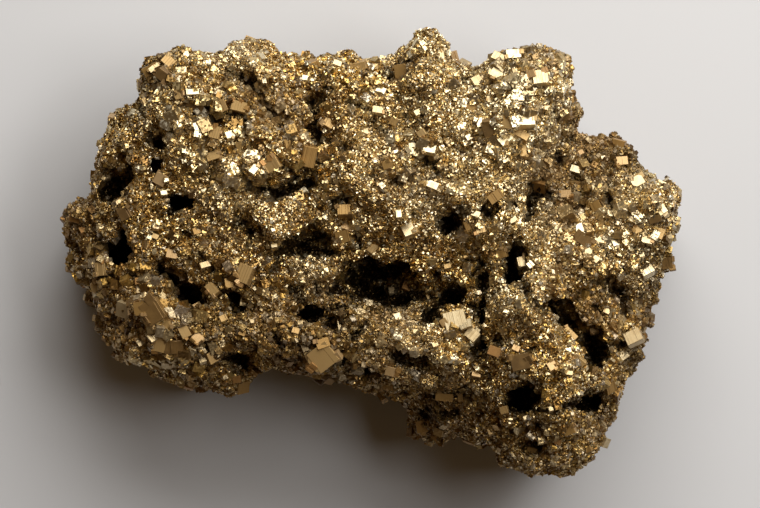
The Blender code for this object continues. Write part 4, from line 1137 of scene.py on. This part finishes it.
def makeLargeMaterial():
    values = largeFinish
    material, tree, surface = newMaterial("large crystal faces")
    tone = attributeNode(tree, "tone")
    stripes = attributeNode(tree, "stripes")
    place = objectPlace(tree)
    across = splitParts(tree, attributeNode(tree, "striation", "Vector"))[0]
    line = addNode(tree, "ShaderNodeTexNoise", {
        "W": across, "Scale": values["stripesPerMm"], "Detail": values["stripeDetail"],
        "Roughness": values["stripeRoughness"],
    }, noise_dimensions="1D").outputs[0]

    base = rampNode(tree, tone, [
        (0.05, "steel"), (0.2, "bronze"), (0.36, "rust"), (0.52, "peach"), (0.68, "tan"),
        (0.85, "gold"), (1.0, "bright"),
    ])
    film = rampNode(tree, noiseNode(tree, place, values["filmScale"], 4.0), [(0.4, 0.0), (0.7, 1.0)])
    # Painted shade in the striation grooves
    stripeShadeMask = product(tree, rampNode(tree, line, [(0.36, 1.0), (0.46, 0.0)]), stripes)
    base = mixInto(tree, base, film, "bronze", values["film"])
    base = mixInto(tree, base, stripeShadeMask, "umber", values["stripeShade"])
    # Tarnish and painted shade darken the colour a little
    base = mixInto(tree, base, attributeNode(tree, "tarnishAndShade"), "tarnishAndShadeBrown", values["tarnishAndShade"])
    clean = sloped(tree, tone, 3.5, -2.6, clamp=True)
    rough = sloped(tree, clean, -0.04, values["roughness"])
    putIn(tree, surface, "Base Color", base)
    putIn(tree, surface, "Metallic", sloped(tree, clean, 0.42, values["metal"]))
    putIn(tree, surface, "Roughness", sloped(tree, film, 0.08, rough))

    ridged = product(tree, line, sloped(tree, stripes, 0.9, 0.1))
    height = sloped(tree, noiseNode(tree, place, values["unevenScale"], 3.0), 0.35, ridged)
    bump = addNode(tree, "ShaderNodeBump", {
        "Strength": values["bump"], "Distance": values["bumpHeight"], "Height": height,
    })
    putIn(tree, surface, "Normal", bump.outputs[0])
    return material


def makeGroundMaterial():
    values = groundFinish
    material, tree, surface = newMaterial("fine ground")
    normal, cellColour = facetNormal(tree, values["facetScale"], values["facetLean"])
    parts = addNode(tree, "ShaderNodeSeparateColor", {0: cellColour})
    base = rampNode(tree, parts.outputs[0], [(0.0, "umber"), (0.45, "bronze"), (1.0, "brass")])
    # Tarnish and painted shade darken it towards umber
    base = mixInto(tree, base, attributeNode(tree, "tarnishAndShade"), "umber", values["tarnishAndShade"])
    # Painted shade of hollows, seams and crystal rims darkens it towards near black
    base = mixInto(tree, base, paintedShadeShare(tree, *values["paintedShade"]), "paintedShadow")
    putIn(tree, surface, "Base Color", base)
    surface.inputs["Metallic"].default_value = values["metal"]
    surface.inputs["Roughness"].default_value = values["roughness"]
    putIn(tree, surface, "Normal", normal)
    return material


def dress(piece, material):
    piece.data.materials.clear()
    piece.data.materials.append(material)


solidMesh = makeSolidMesh()
settled = settleCrystals(BVHTree.FromPolygons(
    [vertex.co for vertex in solidMesh.vertices], [face.vertices for face in solidMesh.polygons]
))
large = makeLargeCrystals(settled)
dress(large, makeLargeMaterial())
skin = makeSkin(solidMesh, settled)
dress(skin, makeGroundMaterial())
smallMaterial = makeSmallMaterial()
pieces = [skin, large]
for name in druseValues:
    pieces.extend(makeDruse(skin, name, smallMaterial))

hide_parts("pyrite_cluster")
for piece in pieces:
    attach(piece, "root")
print("all pieces:", sum(countTriangles(piece.data) for piece in pieces), "triangles")


# Floor, light and camera

studio = {
    "cameraHeight": 2.2,
    "focusHeight": 0.04,
    "sensorWidth": 36,
    "frameWidth": 0.1467,
    "frameCentre": (0.0021, -0.0002),
    "aim": (0.01, 0.01, 0.03),
    "keyPlace": (0.16, 0.42, 0.40),
    "keySize": (0.75, 0.50),
    "keyPower": 5.75,
    "keyColour": (1, 0.97, 0.91),
    "fillPlace": (0.25, 0.05, 0.5),
    "fillSize": (0.2, 0.2),
    "fillPower": 0.8,
    "fillColour": (1, 0.97, 0.92),
    "worldStrength": 0.066,
    "worldColour": (1.0, 0.62, 0.30, 1),
    "floorColour": (0.61, 0.62, 0.65, 1),
    "floorHalf": 1.5,
}


def addArea(name):
    light = bpy.data.lights.new(name, "AREA")
    light.shape = "RECTANGLE"
    light.size, light.size_y = studio[name + "Size"]
    light.energy = studio[name + "Power"]
    light.color = studio[name + "Colour"]
    place = Vector(studio[name + "Place"])
    lamp = linkObject(name, light)
    lamp.location = place
    lamp.rotation_euler = (Vector(studio["aim"]) - place).to_track_quat("-Z", "Y").to_euler()


def makeFloor():
    shape = bmesh.new()
    bmesh.ops.create_grid(shape, x_segments=1, y_segments=1, size=studio["floorHalf"])
    floor = linkObject("floor", meshFrom(shape, "floor"))
    material, _, surface = newMaterial("pale floor")
    surface.inputs["Base Color"].default_value = studio["floorColour"]
    surface.inputs["Roughness"].default_value = 0.9
    dress(floor, material)


def lightScene():
    addArea("key")
    addArea("fill")
    world = bpy.data.worlds.new("studio")
    world.use_nodes = True
    background = world.node_tree.nodes["Background"]
    background.inputs["Color"].default_value = studio["worldColour"]
    background.inputs["Strength"].default_value = studio["worldStrength"]
    bpy.context.scene.world = world
    bpy.context.scene.view_settings.view_transform = "Standard"


def placeCamera():
    lens = bpy.data.cameras.new("camera")
    lens.sensor_width = studio["sensorWidth"]
    away = studio["cameraHeight"] - studio["focusHeight"]
    lens.lens = studio["sensorWidth"] * away / studio["frameWidth"]
    lens.clip_start = 0.01
    camera = linkObject("camera", lens)
    camera.location = (*studio["frameCentre"], studio["cameraHeight"])
    bpy.context.scene.camera = camera


makeFloor()
lightScene()
placeCamera()
